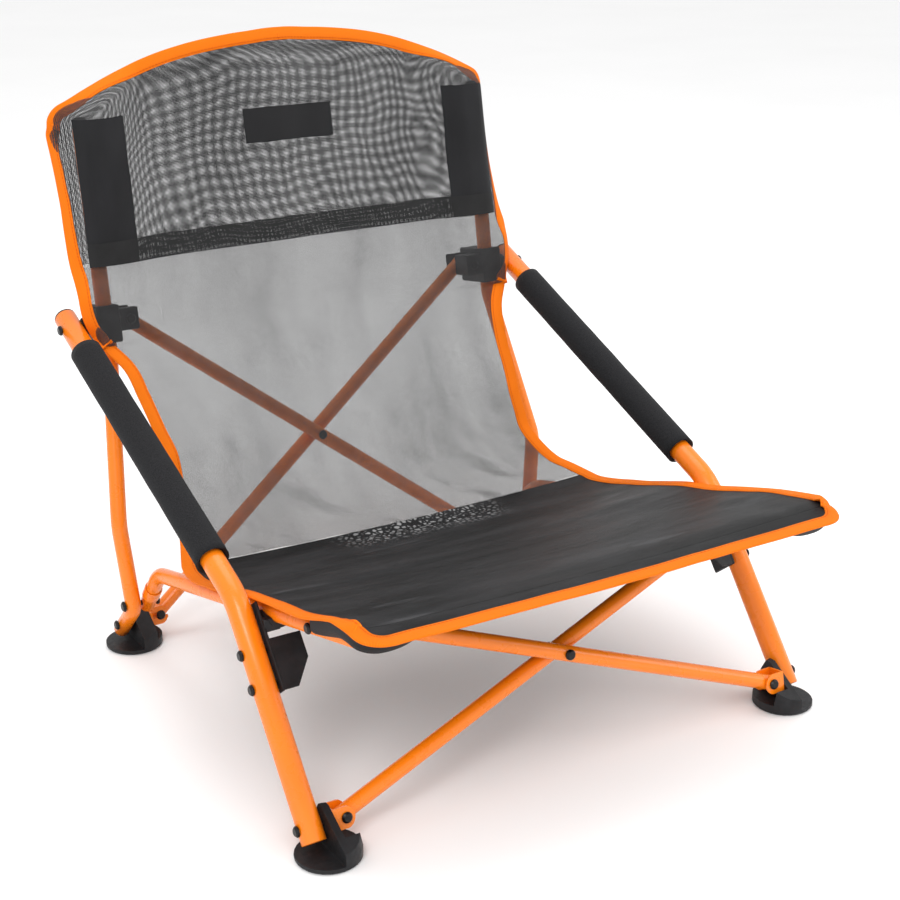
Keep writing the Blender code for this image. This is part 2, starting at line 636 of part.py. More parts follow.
def forward_of_edge(y, z, half, across):
    """How far the back lies in front of its side edges, where it passes the uprights and between them."""
    clear = HUB_CLEAR + (TUBE_CLEAR - HUB_CLEAR) * eased(z, 0.405, 0.430)
    wrap = max(0.0, y - upright_y(z) + clear) * eased(z, 0.325, 0.340)
    x = abs(across) * half
    near = eased(x, *WRAP_X) * (1 - eased(x, WRAP_END_X, half + 0.001))
    middle = HEAD_FORWARD * eased(z, 0.45, 0.57) - BACK_SAG * eased(-z, -0.45, -0.33) * eased(z, 0.16, 0.24)
    return wrap * near + middle * (1 - across ** 2)


def back_point(down, across):
    """The back panel: down goes from its arched top edge to the seat, across from left to right."""
    y, z, half = along_line(BACK_EDGE, down)
    rise = arch(across) * eased(z, 0.45, 0.603)
    sag = JOIN_SAG * (1 - across ** 2) * eased(-z, -0.24, -0.17)
    y += ARCH_LEAN * rise - forward_of_edge(y, z, half, across)
    return place(half * across, y, z + rise - sag)


def pocket_point(down, across):
    """The rear layer of the headrest, behind the uprights."""
    z = POCKET_Z[0] + (POCKET_Z[1] - POCKET_Z[0]) * down
    low, high = BACK_EDGE[3], BACK_EDGE[0]
    y = low[0] + (high[0] - low[0]) * (z - low[1]) / (high[1] - low[1])
    behind = max(0.0, upright_y(z) + TUBE_CLEAR - y) * (1 - across ** 20)
    rise = arch(across) * (1 - down)
    y += 0.003 + behind + 0.004 * (1 - across ** 2) + ARCH_LEAN * rise
    return place((high[2] - POCKET_INSET) * across, y, z + rise)


def seat_point(ahead, across):
    """The seat panel: ahead goes from the back panel's lower edge to the front edge."""
    y, z, half = along_line(SEAT_EDGE, ahead)
    sag = JOIN_SAG + (SEAT_SAG - JOIN_SAG) * eased(ahead, 0, 0.4)
    sag *= (1 - across ** 2) * (1 - 0.7 * eased(ahead, 0.6, 1))
    return place(half * across, y, z - sag)


# ---- The whole chair -------------------------------------------------------------------
def make_side(name, side):
    make_upright(name, side)
    low_offset, top_offset = side * -BAR_OFFSET, side * BAR_OFFSET
    rear_low = lean_point(side, REAR_PIVOT_X, REAR_TOP_Y, REAR_LOW_Z, low_offset)
    rear_bolt = place(side * REAR_CLEVIS_X, *REAR_BOLT)
    make_foot(
        f"{name}_rear_foot", side, REAR_FOOT, REAR_END[0], UPRIGHT_R, REAR_CLEVIS_X, rear_bolt,
    )
    make_clevis(f"{name}_rear_clevis", side, rear_low, REAR_NORMAL, rear_bolt)
    make_bolt(
        f"{name}_rear_foot_bolt", place(side * (REAR_END[0] + UPRIGHT_R), *REAR_BOLT),
        rear_bolt - ACROSS * side * CLEVIS_T, nut=False,
    )
    reach = BAR_R + PLAY + CLEVIS_T
    make_bolt(f"{name}_rear_clevis_bolt", rear_low - REAR_NORMAL * reach, rear_low + REAR_NORMAL * reach)
    make_hub(f"{name}_hub", side, lean_point(side, REAR_PIVOT_X, REAR_TOP_Y, HUB_Z, top_offset))
    make_arm(name, side)
    front_low = place(side * FRONT_LOW[0], *FRONT_LOW[1:]) + FRONT_NORMAL * low_offset
    front_bolt = place(side * FRONT_CLEVIS_X, *LEG_BOLT)
    make_foot(f"{name}_front_foot", side, FRONT_FOOT, ARM_X, ARM_R, FRONT_CLEVIS_X, front_bolt)
    make_clevis(f"{name}_front_clevis", side, front_low, FRONT_NORMAL, front_bolt)
    make_bolt(
        f"{name}_front_foot_bolt", place(side * (ARM_X + ARM_R), *LEG_BOLT),
        front_bolt - ACROSS * side * CLEVIS_T, nut=False,
    )
    make_bolt(f"{name}_front_clevis_bolt", front_low - FRONT_NORMAL * reach, front_low + FRONT_NORMAL * reach)
    make_rail(name, side)
    front_top = place(side * FRONT_TOP[0], *FRONT_TOP[1:]) + FRONT_NORMAL * top_offset
    rail_axis = rail_point(side, FRONT_TOP[1])
    bracket = rail_axis - ACROSS * side * (RAIL_R + PLAY)
    make_clevis(
        f"{name}_bar_bracket", side, front_top, FRONT_NORMAL, bracket, play=OPEN_PLAY, ears=(-1,),
    )
    wide = BAR_R + OPEN_PLAY + CLEVIS_T
    make_bolt(
        f"{name}_bar_bracket_pin", front_top - FRONT_NORMAL * wide,
        front_top - FRONT_NORMAL * (wide - CLEVIS_T), nut=False,
    )
    make_bolt(
        f"{name}_bar_bracket_bolt", rail_axis + ACROSS * side * RAIL_R,
        bracket - ACROSS * side * CLEVIS_T, nut=False,
    )


def make_crossed_bars():
    """Both pairs of crossed bars. Bar a starts low on the left, bar b starts low on the right."""
    for name, side in (("rear_bar_a", -1), ("rear_bar_b", 1)):
        offset = -side * BAR_OFFSET
        start = lean_point(side, REAR_PIVOT_X, REAR_TOP_Y, REAR_LOW_Z, offset)
        end = lean_point(-side, REAR_PIVOT_X, REAR_TOP_Y, HUB_Z, offset)
        make_bar(name, start, end, REAR_NORMAL, BAR_END, BAR_END, (start, end, (start + end) / 2))
    centre = lean_point(0, 0, REAR_TOP_Y, (REAR_LOW_Z + HUB_Z) / 2)
    reach = BAR_OFFSET + BAR_R
    make_bolt("rear_centre_bolt", centre - REAR_NORMAL * reach, centre + REAR_NORMAL * reach)
    for name, side in (("front_bar_a", -1), ("front_bar_b", 1)):
        offset = -side * BAR_OFFSET
        start = place(side * FRONT_LOW[0], *FRONT_LOW[1:]) + FRONT_NORMAL * offset
        end = place(-side * FRONT_TOP[0], *FRONT_TOP[1:]) + FRONT_NORMAL * offset
        make_bar(name, start, end, FRONT_NORMAL, BAR_END, BAR_OPEN_END, (start,))
    share = FRONT_LOW[0] / (FRONT_LOW[0] + FRONT_TOP[0])
    low, top = place(0, *FRONT_LOW[1:]), place(0, *FRONT_TOP[1:])
    centre = low + (top - low) * share
    for name, way in (("front_centre_bolt", -1), ("front_centre_nut", 1)):
        seat = centre + FRONT_NORMAL * way * (reach + GAP)
        profile = [(0, 0), (0.0056, 0), (0.0056, 0.002), (0.0039, 0.0038), (0, 0.0038)]
        head = turned_mesh(name, profile, frame_along(seat, seat + FRONT_NORMAL * way), 12)
        smooth(add_object(name, head, PARTS, BLACK_STEEL))


def make_sling():
    sling_sheet("back_panel", 24, BACK_ACROSS, back_point, MESH_FABRIC)
    sling_sheet("headrest_pocket", 6, BACK_ACROSS, pocket_point, MESH_FABRIC)
    sling_sheet("seat_panel", 12, SEAT_ACROSS, seat_point, SEAT_FABRIC)


clear_scene()
PARTS = new_collection("low_folding_camp_chair")
CUTTERS = new_collection("cutters")
PAINTED = new_material("orange_paint", ORANGE, 0.35)
BLACK_NYLON = new_material("black_nylon", NYLON, 0.5)
BLACK_STEEL = new_material("black_steel", NYLON, 0.3, 1.0)
GREY_FOAM = new_material("grey_foam", FOAM, 0.9)
MESH_FABRIC = new_material("mesh_fabric", FABRIC, 0.85)
SEAT_FABRIC = new_material("seat_fabric", FABRIC, 0.8)
for side_name, side_sign in SIDES:
    make_side(side_name, side_sign)
make_crossed_bars()
make_sling()
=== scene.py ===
"""The looks of the low folding camp chair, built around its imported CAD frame.

Metres, in the frame's own axes: +Z up, the sitter faces -Y, left is -X and right is +X.
"""

import functools
import json
import math

import bmesh
import bpy
from mathutils import Matrix, Vector, noise

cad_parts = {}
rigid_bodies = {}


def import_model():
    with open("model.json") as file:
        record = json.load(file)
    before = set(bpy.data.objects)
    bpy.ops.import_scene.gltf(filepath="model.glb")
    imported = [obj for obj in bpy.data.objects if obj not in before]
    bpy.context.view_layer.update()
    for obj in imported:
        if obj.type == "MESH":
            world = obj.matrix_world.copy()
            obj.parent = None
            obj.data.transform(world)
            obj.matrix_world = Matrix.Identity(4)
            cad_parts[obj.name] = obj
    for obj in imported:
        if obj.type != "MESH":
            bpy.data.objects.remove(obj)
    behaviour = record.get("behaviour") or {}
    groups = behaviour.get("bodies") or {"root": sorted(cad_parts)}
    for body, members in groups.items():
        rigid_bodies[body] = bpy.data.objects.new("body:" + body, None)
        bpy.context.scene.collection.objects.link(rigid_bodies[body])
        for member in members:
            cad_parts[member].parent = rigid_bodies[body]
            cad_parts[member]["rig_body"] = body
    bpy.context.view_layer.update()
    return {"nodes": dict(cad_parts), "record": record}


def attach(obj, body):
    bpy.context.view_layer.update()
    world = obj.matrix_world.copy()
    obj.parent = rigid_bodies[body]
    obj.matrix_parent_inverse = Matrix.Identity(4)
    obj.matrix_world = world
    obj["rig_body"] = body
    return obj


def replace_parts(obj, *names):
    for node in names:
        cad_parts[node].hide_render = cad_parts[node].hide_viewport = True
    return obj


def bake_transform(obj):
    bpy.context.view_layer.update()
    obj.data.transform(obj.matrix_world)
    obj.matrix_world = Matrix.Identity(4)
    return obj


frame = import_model()
SIDES = (("left", -1), ("right", 1))

# ---- Dimensions ------------------------------------------------------------------------
MIDDLE_Y = 0.0408              # the CAD's depths are given from this far behind the middle

ARM_R, UPRIGHT_R, RAIL_R = 0.0122, 0.0090, 0.00875
TUBE_WALL = 0.0014
TUBE_HOLLOW = 0.012            # how far a tube's open end can be looked into
TUBE_RIM = 0.0003              # the rounding of its rims
ARM_X = 0.292
ARM_PATH = ((0.3404, 0.3815), (-0.079, 0.206), (-0.2290, 0.0145))
ARM_BEND_R = 0.075
GRIP_R = 0.0172
GRIP_Y = (0.2825, -0.0309)
GRIP_ROUND = 0.0032            # how its ends are rounded
GRIP_WANDER = 0.00035

UPRIGHT_X = 0.2535
UPRIGHT_Y, HUB_Z, LEAN = 0.3187, 0.375, 0.17
UPRIGHT_TOP_Z, UPRIGHT_BEND_Z = 0.588, 0.340
UPRIGHT_LOWER = ((0.281, 0.249, 0.161), (0.2722, 0.2436, 0.0585), (0.2722, 0.2875, 0.0150))
UPRIGHT_BEND_R = (0.050, 0.060, 0.022)    # of its bends, from the top down
RAIL_PIVOT = (0.2535, 0.2450, 0.0635)
RAIL_BEND = (0.2545, 0.205, 0.112)
RAIL_FRONT = (0.264, -0.283, 0.2374)
RAIL_BEND_R = 0.045
RAIL_REAR = 0.010              # how far a rail goes on behind its pivot

BACK_EDGE = (                  # Y, Z and half width of the back, from its top corners to the seat
    (0.378, 0.603, 0.280), (0.360, 0.540, 0.280), (0.348, 0.500, 0.280), (0.332, 0.450, 0.282),
    (0.320, 0.420, 0.282), (0.310, 0.385, 0.280), (0.302, 0.360, 0.270), (0.278, 0.330, 0.248),
    (0.258, 0.300, 0.242), (0.234, 0.270, 0.237), (0.216, 0.247, 0.233), (0.202, 0.220, 0.233),
    (0.190, 0.200, 0.2335), (0.170, 0.182, 0.240), (0.150, 0.170, 0.248), (0.130, 0.1655, 0.256),
    (0.1075, 0.1602, 0.265),
)
SEAT_EDGE = (                  # the same for the seat, from the back to its front corners
    (0.1075, 0.1602, 0.265), (0.090, 0.159, 0.269), (0.060, 0.164, 0.274), (0.030, 0.172, 0.276),
    (0.000, 0.180, 0.278), (-0.060, 0.199, 0.2785), (-0.110, 0.211, 0.2785), (-0.160, 0.2245, 0.284),
    (-0.210, 0.237, 0.288), (-0.260, 0.248, 0.286), (-0.290, 0.249, 0.283), (-0.313, 0.246, 0.279),
)
CORNER_Z, BAND_Z = 0.603, 0.440    # the headrest's corners and its lower edge
HEAD_HALF = 0.280
CORNER_R = 0.012
HEM_TOP_Z = 0.4655
STRIP_TOP_Z = 0.598
STRIP_INNER = 0.735            # where the side strips end, as a share of the half width
UNDER_TAPE = 0.945             # where strips and hem end, in the same way, at the edge binding
LABEL_X, LABEL_Z = 0.057, (0.552, 0.591)
STRIP_LIFT, HEM_LIFT, LABEL_LIFT = 0.0012, 0.0022, 0.0016    # how far they lie in front of the net
POCKET_INSET = 0.0035
ARCH_RISE = 0.072
ARCH_POWER, ARCH_MEAN = 2.2, 0.69    # its curve, and its mean height as a share of its rise
ARCH_LEAN = 0.10
ARCH_ADDS = 0.05               # what the arch adds to the length of the headrest's net
TUBE_CLEAR, HUB_CLEAR = 0.0108, 0.0215
HUB_FOOT, HUB_TOP = (0.325, 0.340), (0.405, 0.430)    # heights where a hub's room starts and ends
WRAP_X = (0.165, 0.238)        # where the cloth comes forward to pass the uprights
WRAP_END_X = 0.2675            # where it starts back towards its side edges, beside the hubs
TANGENT_X = 0.0087             # from an upright's axis to where it leaves the upright, above them
TANGENT_DROP = 0.15            # and the share of the way forward that it has lost there
HEAD_FORWARD = 0.008
BACK_SAG = 0.012
JOIN_SAG = 0.006
SEAT_SAG = 0.010
SEAT_CORNER_R = 0.030
SEAT_CORNER_DROP = 0.001
CORNER_LIFT = 0.0020           # how far the tape rises over the gathered cloth of a front corner
LIFT_REACH = 0.012             # and how far around the corner
ROUND_FROM = 0.86              # where the seat starts to narrow to its front corners
CRUMPLE_Y, CRUMPLE_RISE, CRUMPLE_REACH = -0.258, 0.005, 0.028    # the wrinkle near the left corner
SLEEVE_OUTER, SLEEVE_WIDE = 0.985, 0.22    # the pocket for a rail, as shares of the seat's half width
SLEEVE_REAR, SLEEVE_LONG = 0.775, 0.20     # and of its length
SLEEVE_DEEP = 0.020

BINDING_WIDTH = 0.0148
BINDING_HALF_T = 0.0014
TAPE_WANDER = 0.0012
TURN_FROM = 0.80               # the share of an edge from which the tape turns to a corner
REAR_PITCH = 1.13              # the rear net's pitch over the front's, for the moire between them
TAPE_RIB = 0.0013              # from one cross rib of the tape to the next
STITCH_PITCH, STITCH_INSET, STITCH_HALF = 0.0042, 0.0024, 0.00045
MESH_PITCH = 0.0013
SEAT_PITCH = 0.0009
SEAM_HALF = 0.0010
SEAT_SEAMS = (0.24, 0.55, 0.93)    # as shares of the seat's length
VENT_X, VENT_HALF, VENT_LONG = 0.020, 0.120, 0.062
BLACK, WHITE = (0, 0, 0), (1, 1, 1)

NORMAL_STEP = 0.004            # the share of a sheet over which its slope is measured
SHARP_DEGREES = 38             # edges sharper than this stay crisp on the small parts
LENS = 69.85
CAMERA_AT = (-0.9259, -1.5179, 0.9173)
CAMERA_BACK, CAMERA_RIGHT = (-0.4984, -0.7949, 0.3460), (0.8472, -0.5312, 0)    # its own axes


# ---- Node materials --------------------------------------------------------------------
def new_material(name):
    """A material with its node tree and its shader."""
    material = bpy.data.materials.new(name)
    material.use_nodes = True
    return material, material.node_tree, material.node_tree.nodes["Principled BSDF"]


def add_node(tree, kind, inputs=(), **settings):
    """A node with its settings, its inputs set to a value or linked from a socket."""
    node = tree.nodes.new(kind)
    for key, value in settings.items():
        setattr(node, key, value)
    for key, value in dict(inputs).items():
        if isinstance(value, bpy.types.NodeSocket):
            tree.links.new(value, node.inputs[key])
        else:
            node.inputs[key].default_value = value
    return node


def calc(tree, operation, first, second=0.0):
    """The result of a maths node."""
    return add_node(tree, "ShaderNodeMath", {0: first, 1: second}, operation=operation).outputs[0]


def distance_from(tree, value, centre):
    """How far the value is from the centre, either way."""
    return calc(tree, "ABSOLUTE", calc(tree, "SUBTRACT", value, centre))


def repeat_of(tree, value, period):
    """Rises from 0 to 1 over each period."""
    return calc(tree, "FRACT", calc(tree, "DIVIDE", value, period))


def noise_of(tree, vector, scale, detail=3.0, stretch=(1, 1, 1)):
    """Noise between 0 and 1. A stretch below 1 draws it out along that axis."""
    spread = add_node(tree, "ShaderNodeMapping", {"Vector": vector, "Scale": stretch})
    source = add_node(
        tree, "ShaderNodeTexNoise",
        {"Vector": spread.outputs[0], "Scale": scale, "Detail": detail},
    )
    return source.outputs["Fac"]


def ramp_of(tree, factor, low, high, low_colour, high_colour):
    """One colour where the factor is low, the other where it is high, and a blend between."""
    ramp = add_node(tree, "ShaderNodeValToRGB", {"Fac": factor})
    ends = ((low, low_colour), (high, high_colour))
    for element, (position, colour) in zip(ramp.color_ramp.elements, ends):
        element.position = position
        element.color = (*colour, 1)
    return ramp.outputs[0]


def mask_of(tree, factor, low, high):
    """0 where the factor is low, 1 where it is high, and a blend between."""
    return ramp_of(tree, factor, low, high, BLACK, WHITE)


def mixed(tree, factor, first, second):
    """The first colour, giving way to the second as the factor rises."""
    inputs = {"Factor": factor, "A": first, "B": (*second, 1)}
    return add_node(tree, "ShaderNodeMix", inputs, data_type="RGBA").outputs["Result"]


def range_of(tree, value, from_low, from_high, to_low, to_high):
    """The value moved from one range to another, and held within it."""
    ends = {"From Min": from_low, "From Max": from_high, "To Min": to_low, "To Max": to_high}
    return add_node(tree, "ShaderNodeMapRange", {"Value": value, **ends}).outputs[0]


def bump_on(tree, shader, height, distance, strength=1.0):
    """Roughens the shader's normal by the height, which stands for a real distance."""
    inputs = {"Height": height, "Distance": distance, "Strength": strength}
    tree.links.new(add_node(tree, "ShaderNodeBump", inputs).outputs[0], shader.inputs["Normal"])


def set_shader(tree, shader, inputs):
    """Sets the shader's inputs to a value, or links them from a socket."""
    for key, value in inputs.items():
        if isinstance(value, bpy.types.NodeSocket):
            tree.links.new(value, shader.inputs[key])
        else:
            shader.inputs[key].default_value = value


def object_place(tree):
    return add_node(tree, "ShaderNodeTexCoord").outputs["Object"]


def cloth_place(tree):
    """The cloth's UV, and its two parts in metres across and along it."""
    uv = add_node(tree, "ShaderNodeUVMap", uv_map="cloth").outputs[0]
    parts = add_node(tree, "ShaderNodeSeparateXYZ", {0: uv})
    return uv, parts.outputs[0], parts.outputs[1]


def powder_coat():
    """Glossy orange powder coat, with the fine ripple and slight colour drift of sprayed paint."""
    material, tree, shader = new_material("powder_coat")
    at = object_place(tree)
    set_shader(tree, shader, {
        "Base Color": ramp_of(
            tree, noise_of(tree, at, 9), 0.3, 0.7, (0.86, 0.190, 0.003), (0.95, 0.225, 0.005),
        ),
        "Roughness": range_of(tree, noise_of(tree, at, 60), 0.3, 0.7, 0.24, 0.33),
        "Specular IOR Level": 0.4,
        "Coat Weight": 0.2,
        "Coat Roughness": 0.12,
    })
    bump_on(tree, shader, noise_of(tree, at, 900, 2), 0.00008)
    return material


def moulded_nylon():
    """Black injection-moulded nylon with a spark-eroded grain and scuffs."""
    material, tree, shader = new_material("moulded_nylon")
    at = object_place(tree)
    set_shader(tree, shader, {
        "Base Color": ramp_of(
            tree, noise_of(tree, at, 70), 0.35, 0.75, (0.008, 0.008, 0.009), (0.016, 0.016, 0.018),
        ),
        "Roughness": range_of(tree, noise_of(tree, at, 200), 0.3, 0.7, 0.42, 0.58),
        "Specular IOR Level": 0.30,
    })
    bump_on(tree, shader, noise_of(tree, at, 1900, 1), 0.00012, 0.8)
    return material


def black_steel():
    """Blackened steel of bolts, nuts and rivets."""
    material, tree, shader = new_material("blackened_steel")
    at = object_place(tree)
    set_shader(tree, shader, {
        "Base Color": ramp_of(
            tree, noise_of(tree, at, 400), 0.3, 0.7, (0.012, 0.012, 0.013), (0.030, 0.028, 0.028),
        ),
        "Roughness": range_of(tree, noise_of(tree, at, 500), 0.3, 0.7, 0.28, 0.44),
        "Metallic": 0.7,
    })
    return material


def grey_foam():
    """Closed-cell foam sleeve: matt, charcoal, with fine pores."""
    material, tree, shader = new_material("closed_cell_foam")
    at = object_place(tree)
    set_shader(tree, shader, {
        "Base Color": ramp_of(
            tree, noise_of(tree, at, 900, 4), 0.3, 0.7, (0.010, 0.010, 0.011), (0.024, 0.024, 0.026),
        ),
        "Roughness": 0.95,
        "Sheen Weight": 0.03,
        "Specular IOR Level": 0.15,
    })
    cells = add_node(tree, "ShaderNodeTexVoronoi", {"Vector": at, "Scale": 1100.0})
    bump_on(tree, shader, cells.outputs["Distance"], 0.00025)
    return material


def thread_grid(tree, across, along, pitch, cover=0.4):
    """1 on the threads and 0 in the holes of a square mesh, and the threads' rounded height."""
    heights = [distance_from(tree, repeat_of(tree, way, pitch), 0.5) for way in (across, along)]
    nearest = calc(tree, "MAXIMUM", *heights)
    return calc(tree, "GREATER_THAN", nearest, cover), nearest


def painted_crease_shade(tree, uv):
    """Painted shade along creases, drawn as denser, darker net: tall faint ones all over the lower
    back, and slanted ones that gather towards the seat.
    """
    tall = mask_of(tree, noise_of(tree, uv, 16.0, 3.0, (1.5, 0.35, 1)), 0.50, 0.72)
    slanted = add_node(tree, "ShaderNodeMapping", {"Vector": uv, "Rotation": (0, 0, 0.9)}).outputs[0]
    low = mask_of(tree, noise_of(tree, slanted, 20.0, 4.0, (1.6, 0.5, 1)), 0.50, 0.68)
    down = add_node(tree, "ShaderNodeSeparateXYZ", {0: uv}).outputs[1]
    near_seat = range_of(tree, down, LOW_LENGTH * 0.55, LOW_LENGTH, 0, 1.6)
    return calc(tree, "ADD", calc(tree, "MULTIPLY", tall, 0.45), calc(tree, "MULTIPLY", low, near_seat))


def open_mesh(name, pitch, half_hole, drift, bright=0.8, crease_shade_amount=0.0):
    """See-through black net. Its threads lie closer together in stretched patches and along creases,
    and further apart elsewhere, as painted light and shade of folds.
    """
    material, tree, shader = new_material(name)
    uv, across, along = cloth_place(tree)
    for scale, share in ((7.0, 1.0), (19.0, 0.28)):
        shifts = add_node(tree, "ShaderNodeTexNoise", {"Vector": uv, "Scale": scale, "Detail": 1.0})
        moved = add_node(tree, "ShaderNodeSeparateXYZ", {0: shifts.outputs["Color"]})
        across = calc(tree, "ADD", across, calc(tree, "MULTIPLY", moved.outputs[0], drift * share))
        along = calc(tree, "ADD", along, calc(tree, "MULTIPLY", moved.outputs[1], drift * share))
    # painted light and shade of folds: the holes grow and shrink in stretched patches of noise
    painted_fold_patches = noise_of(tree, uv, 5.0, 4.0, (1.6, 0.5, 1))
    hole = range_of(tree, painted_fold_patches, 0.3, 0.7, half_hole + 0.022, half_hole - 0.028)
    # painted shade: the holes shrink further along the creases, so that the net looks darker there
    if crease_shade_amount:
        closer = calc(tree, "MULTIPLY", painted_crease_shade(tree, uv), crease_shade_amount)
        hole = calc(tree, "SUBTRACT", hole, closer)
    thread, height = thread_grid(tree, across, along, pitch, hole)
    grey = 0.030 * bright
    light = grey * 1.6
    set_shader(tree, shader, {
        "Alpha": thread,
        "Base Color": ramp_of(
            tree, noise_of(tree, uv, 40), 0.3, 0.7,
            (grey, grey, grey * 1.04), (light, light, grey * 1.66),
        ),
        "Roughness": 0.6,
        "Specular IOR Level": 0.25,
    })
    bump_on(tree, shader, height, 0.0004, 0.6)
    return material


def woven(name, low, high, pitch, rough, sheen):
    """Closed plain weave, with threads that catch the light and a faint drift of colour."""
    material, tree, shader = new_material(name)
    uv, across, along = cloth_place(tree)
    _, height = thread_grid(tree, across, along, pitch)
    set_shader(tree, shader, {
        "Base Color": ramp_of(tree, noise_of(tree, uv, 26, 5, (1, 0.35, 1)), 0.3, 0.72, low, high),
        "Roughness": range_of(tree, noise_of(tree, uv, 14), 0.3, 0.7, rough - 0.06, rough + 0.08),
        "Sheen Weight": sheen,
        "Sheen Roughness": 0.4,
        "Specular IOR Level": 0.22,
    })
    bump_on(tree, shader, height, 0.0004, 0.7)
    return material


def vent_cells(tree, uv, across, along):
    """1 on the light cells of the seat's knitted vent, which fades out around its middle."""
    from_middle = distance_from(tree, across, HEAD_HALF + VENT_X)
    wide = range_of(tree, from_middle, VENT_HALF, VENT_HALF * 0.6, 0, 1)
    inside = calc(tree, "MULTIPLY", wide, range_of(tree, along, VENT_LONG, VENT_LONG * 0.5, 0, 1))
    cells = add_node(
        tree, "ShaderNodeTexVoronoi", {"Vector": uv, "Scale": 150.0}, feature="DISTANCE_TO_EDGE",
    )
    return calc(tree, "MULTIPLY", mask_of(tree, cells.outputs["Distance"], 0.16, 0.26), inside)


def seam_lines(tree, along):
    """1 along the seat's transverse seams."""
    seams = []
    for share in SEAT_SEAMS:
        near = distance_from(tree, along, share * SEAT_LENGTH)
        seams.append(range_of(tree, near, SEAM_HALF, 0.0, 0, 1))
    return functools.reduce(functools.partial(calc, tree, "ADD"), seams)


def seat_weave():
    """Coated black polyester: painted sheen and highlights along its long transverse folds, seams, and
    a knitted vent.
    """
    material, tree, shader = new_material("seat_polyester")
    uv, across, along = cloth_place(tree)
    # painted sheen: lighter streaks drawn out across the seat along its transverse folds; the same
    # noise also raises their bump
    broad = calc(tree, "MULTIPLY", noise_of(tree, uv, 16, 3, (0.16, 1.0, 1)), 0.65)
    fine = calc(tree, "MULTIPLY", noise_of(tree, uv, 42, 5, (0.35, 1.0, 1)), 0.35)
    lit = calc(tree, "ADD", broad, fine)
    # painted highlight: a brighter colour mixed in along the ridges of the folds
    painted_fold_highlight = mask_of(tree, noise_of(tree, uv, 30, 4, (0.22, 1.3, 1)), 0.62, 0.70)
    colour = ramp_of(tree, lit, 0.42, 0.66, (0.0030, 0.0030, 0.0034), (0.024, 0.024, 0.026))
    colour = mixed(tree, calc(tree, "MULTIPLY", painted_fold_highlight, 0.6), colour, (0.060, 0.060, 0.064))
    colour = mixed(tree, vent_cells(tree, uv, across, along), colour, (0.26, 0.26, 0.26))
    set_shader(tree, shader, {"Base Color": colour, "Roughness": 0.48, "Specular IOR Level": 0.2})
    _, threads = thread_grid(tree, across, along, SEAT_PITCH)
    sunk = calc(tree, "MULTIPLY", seam_lines(tree, along), 1.5)
    relief = calc(tree, "SUBTRACT", calc(tree, "MULTIPLY", lit, 9.0), sunk)
    bump_on(tree, shader, calc(tree, "ADD", relief, calc(tree, "MULTIPLY", threads, 0.5)), 0.0008)
    return material


def ribbed_tape():
    """Orange grosgrain binding: fine cross ribs with painted shade in their hollows, and a row of
    stitches along its inner edge.
    """
    material, tree, shader = new_material("binding_tape")
    _, across, along = cloth_place(tree)
    slant = calc(tree, "ADD", along, calc(tree, "MULTIPLY", across, 0.25))
    rib = calc(tree, "SINE", calc(tree, "MULTIPLY", slant, math.tau / TAPE_RIB))
    level = range_of(tree, rib, -1, 1, 0, 1)
    # painted shade: the orange darkens in the hollows between the ribs and lightens on their crests
    colour = ramp_of(tree, level, 0.0, 1.0, (0.78, 0.135, 0.002), (0.95, 0.225, 0.004))
    from_row = distance_from(tree, across, BINDING_WIDTH - STITCH_INSET)
    on_row = calc(tree, "LESS_THAN", from_row, STITCH_HALF)
    on_stitch = calc(tree, "LESS_THAN", repeat_of(tree, along, STITCH_PITCH), 0.72)
    stitch = calc(tree, "MULTIPLY", on_row, on_stitch)
    set_shader(tree, shader, {
        "Base Color": mixed(tree, stitch, colour, (0.70, 0.085, 0.002)),
        "Roughness": 0.7,
        "Specular IOR Level": 0.15,
    })
    sunk = calc(tree, "MULTIPLY", stitch, 2.0)
    bump_on(tree, shader, calc(tree, "SUBTRACT", rib, sunk), 0.00018)
    return material


def floor_paint():
    """A plain pale floor."""
    material, tree, shader = new_material("studio_floor")
    drift = noise_of(tree, object_place(tree), 2)
    colour = ramp_of(tree, drift, 0.3, 0.7, (0.95, 0.95, 0.95), (0.97, 0.97, 0.97))
    set_shader(tree, shader, {"Base Color": colour, "Roughness": 0.9})
    return material


# ---- Mesh helpers ----------------------------------------------------------------------
def place(x, y, z):
    """A point given as the CAD gives it, in the frame's axes."""
    return Vector((x, y - MIDDLE_Y, z))


def add_piece(name, work, material):
    """The bmesh as a named, smooth-shaded piece with its material and slot."""
    mesh = bpy.data.meshes.new(name)
    work.to_mesh(mesh)
    work.free()
    mesh.materials.append(material)
    for face in mesh.polygons:
        face.use_smooth = True
    item = bpy.data.objects.new(name, mesh)
    bpy.context.scene.collection.objects.link(item)
    return item


def rounded_path(corners, radius, steps):
    """The corners joined by straight runs, each inner corner replaced by an arc."""
    points = [corners[0]]
    for before, corner, after in zip(corners, corners[1:], corners[2:]):
        come = (corner - before).normalized()
        leave = (after - corner).normalized()
        turn = come.angle(leave)
        centre = corner + (leave - come).normalized() * (radius / math.cos(turn / 2))
        first = corner - come * radius * math.tan(turn / 2) - centre
        axis = come.cross(leave).normalized()
        for index in range(steps + 1):
            points.append(centre + Matrix.Rotation(turn * index / steps, 3, axis) @ first)
    points.append(corners[-1])
    return points


def loft(rings):
    """A bmesh skinned over closed rings of points, with a face over each end."""
    work = bmesh.new()
    rows = [[work.verts.new(point) for point in ring] for ring in rings]
    count = len(rows[0])
    for first, second in zip(rows, rows[1:]):
        for index in range(count):
            after = (index + 1) % count
            work.faces.new((first[index], first[after], second[after], second[index]))
    work.faces.new(rows[0][::-1])
    work.faces.new(rows[-1])
    bmesh.ops.recalc_face_normals(work, faces=work.faces)
    return work


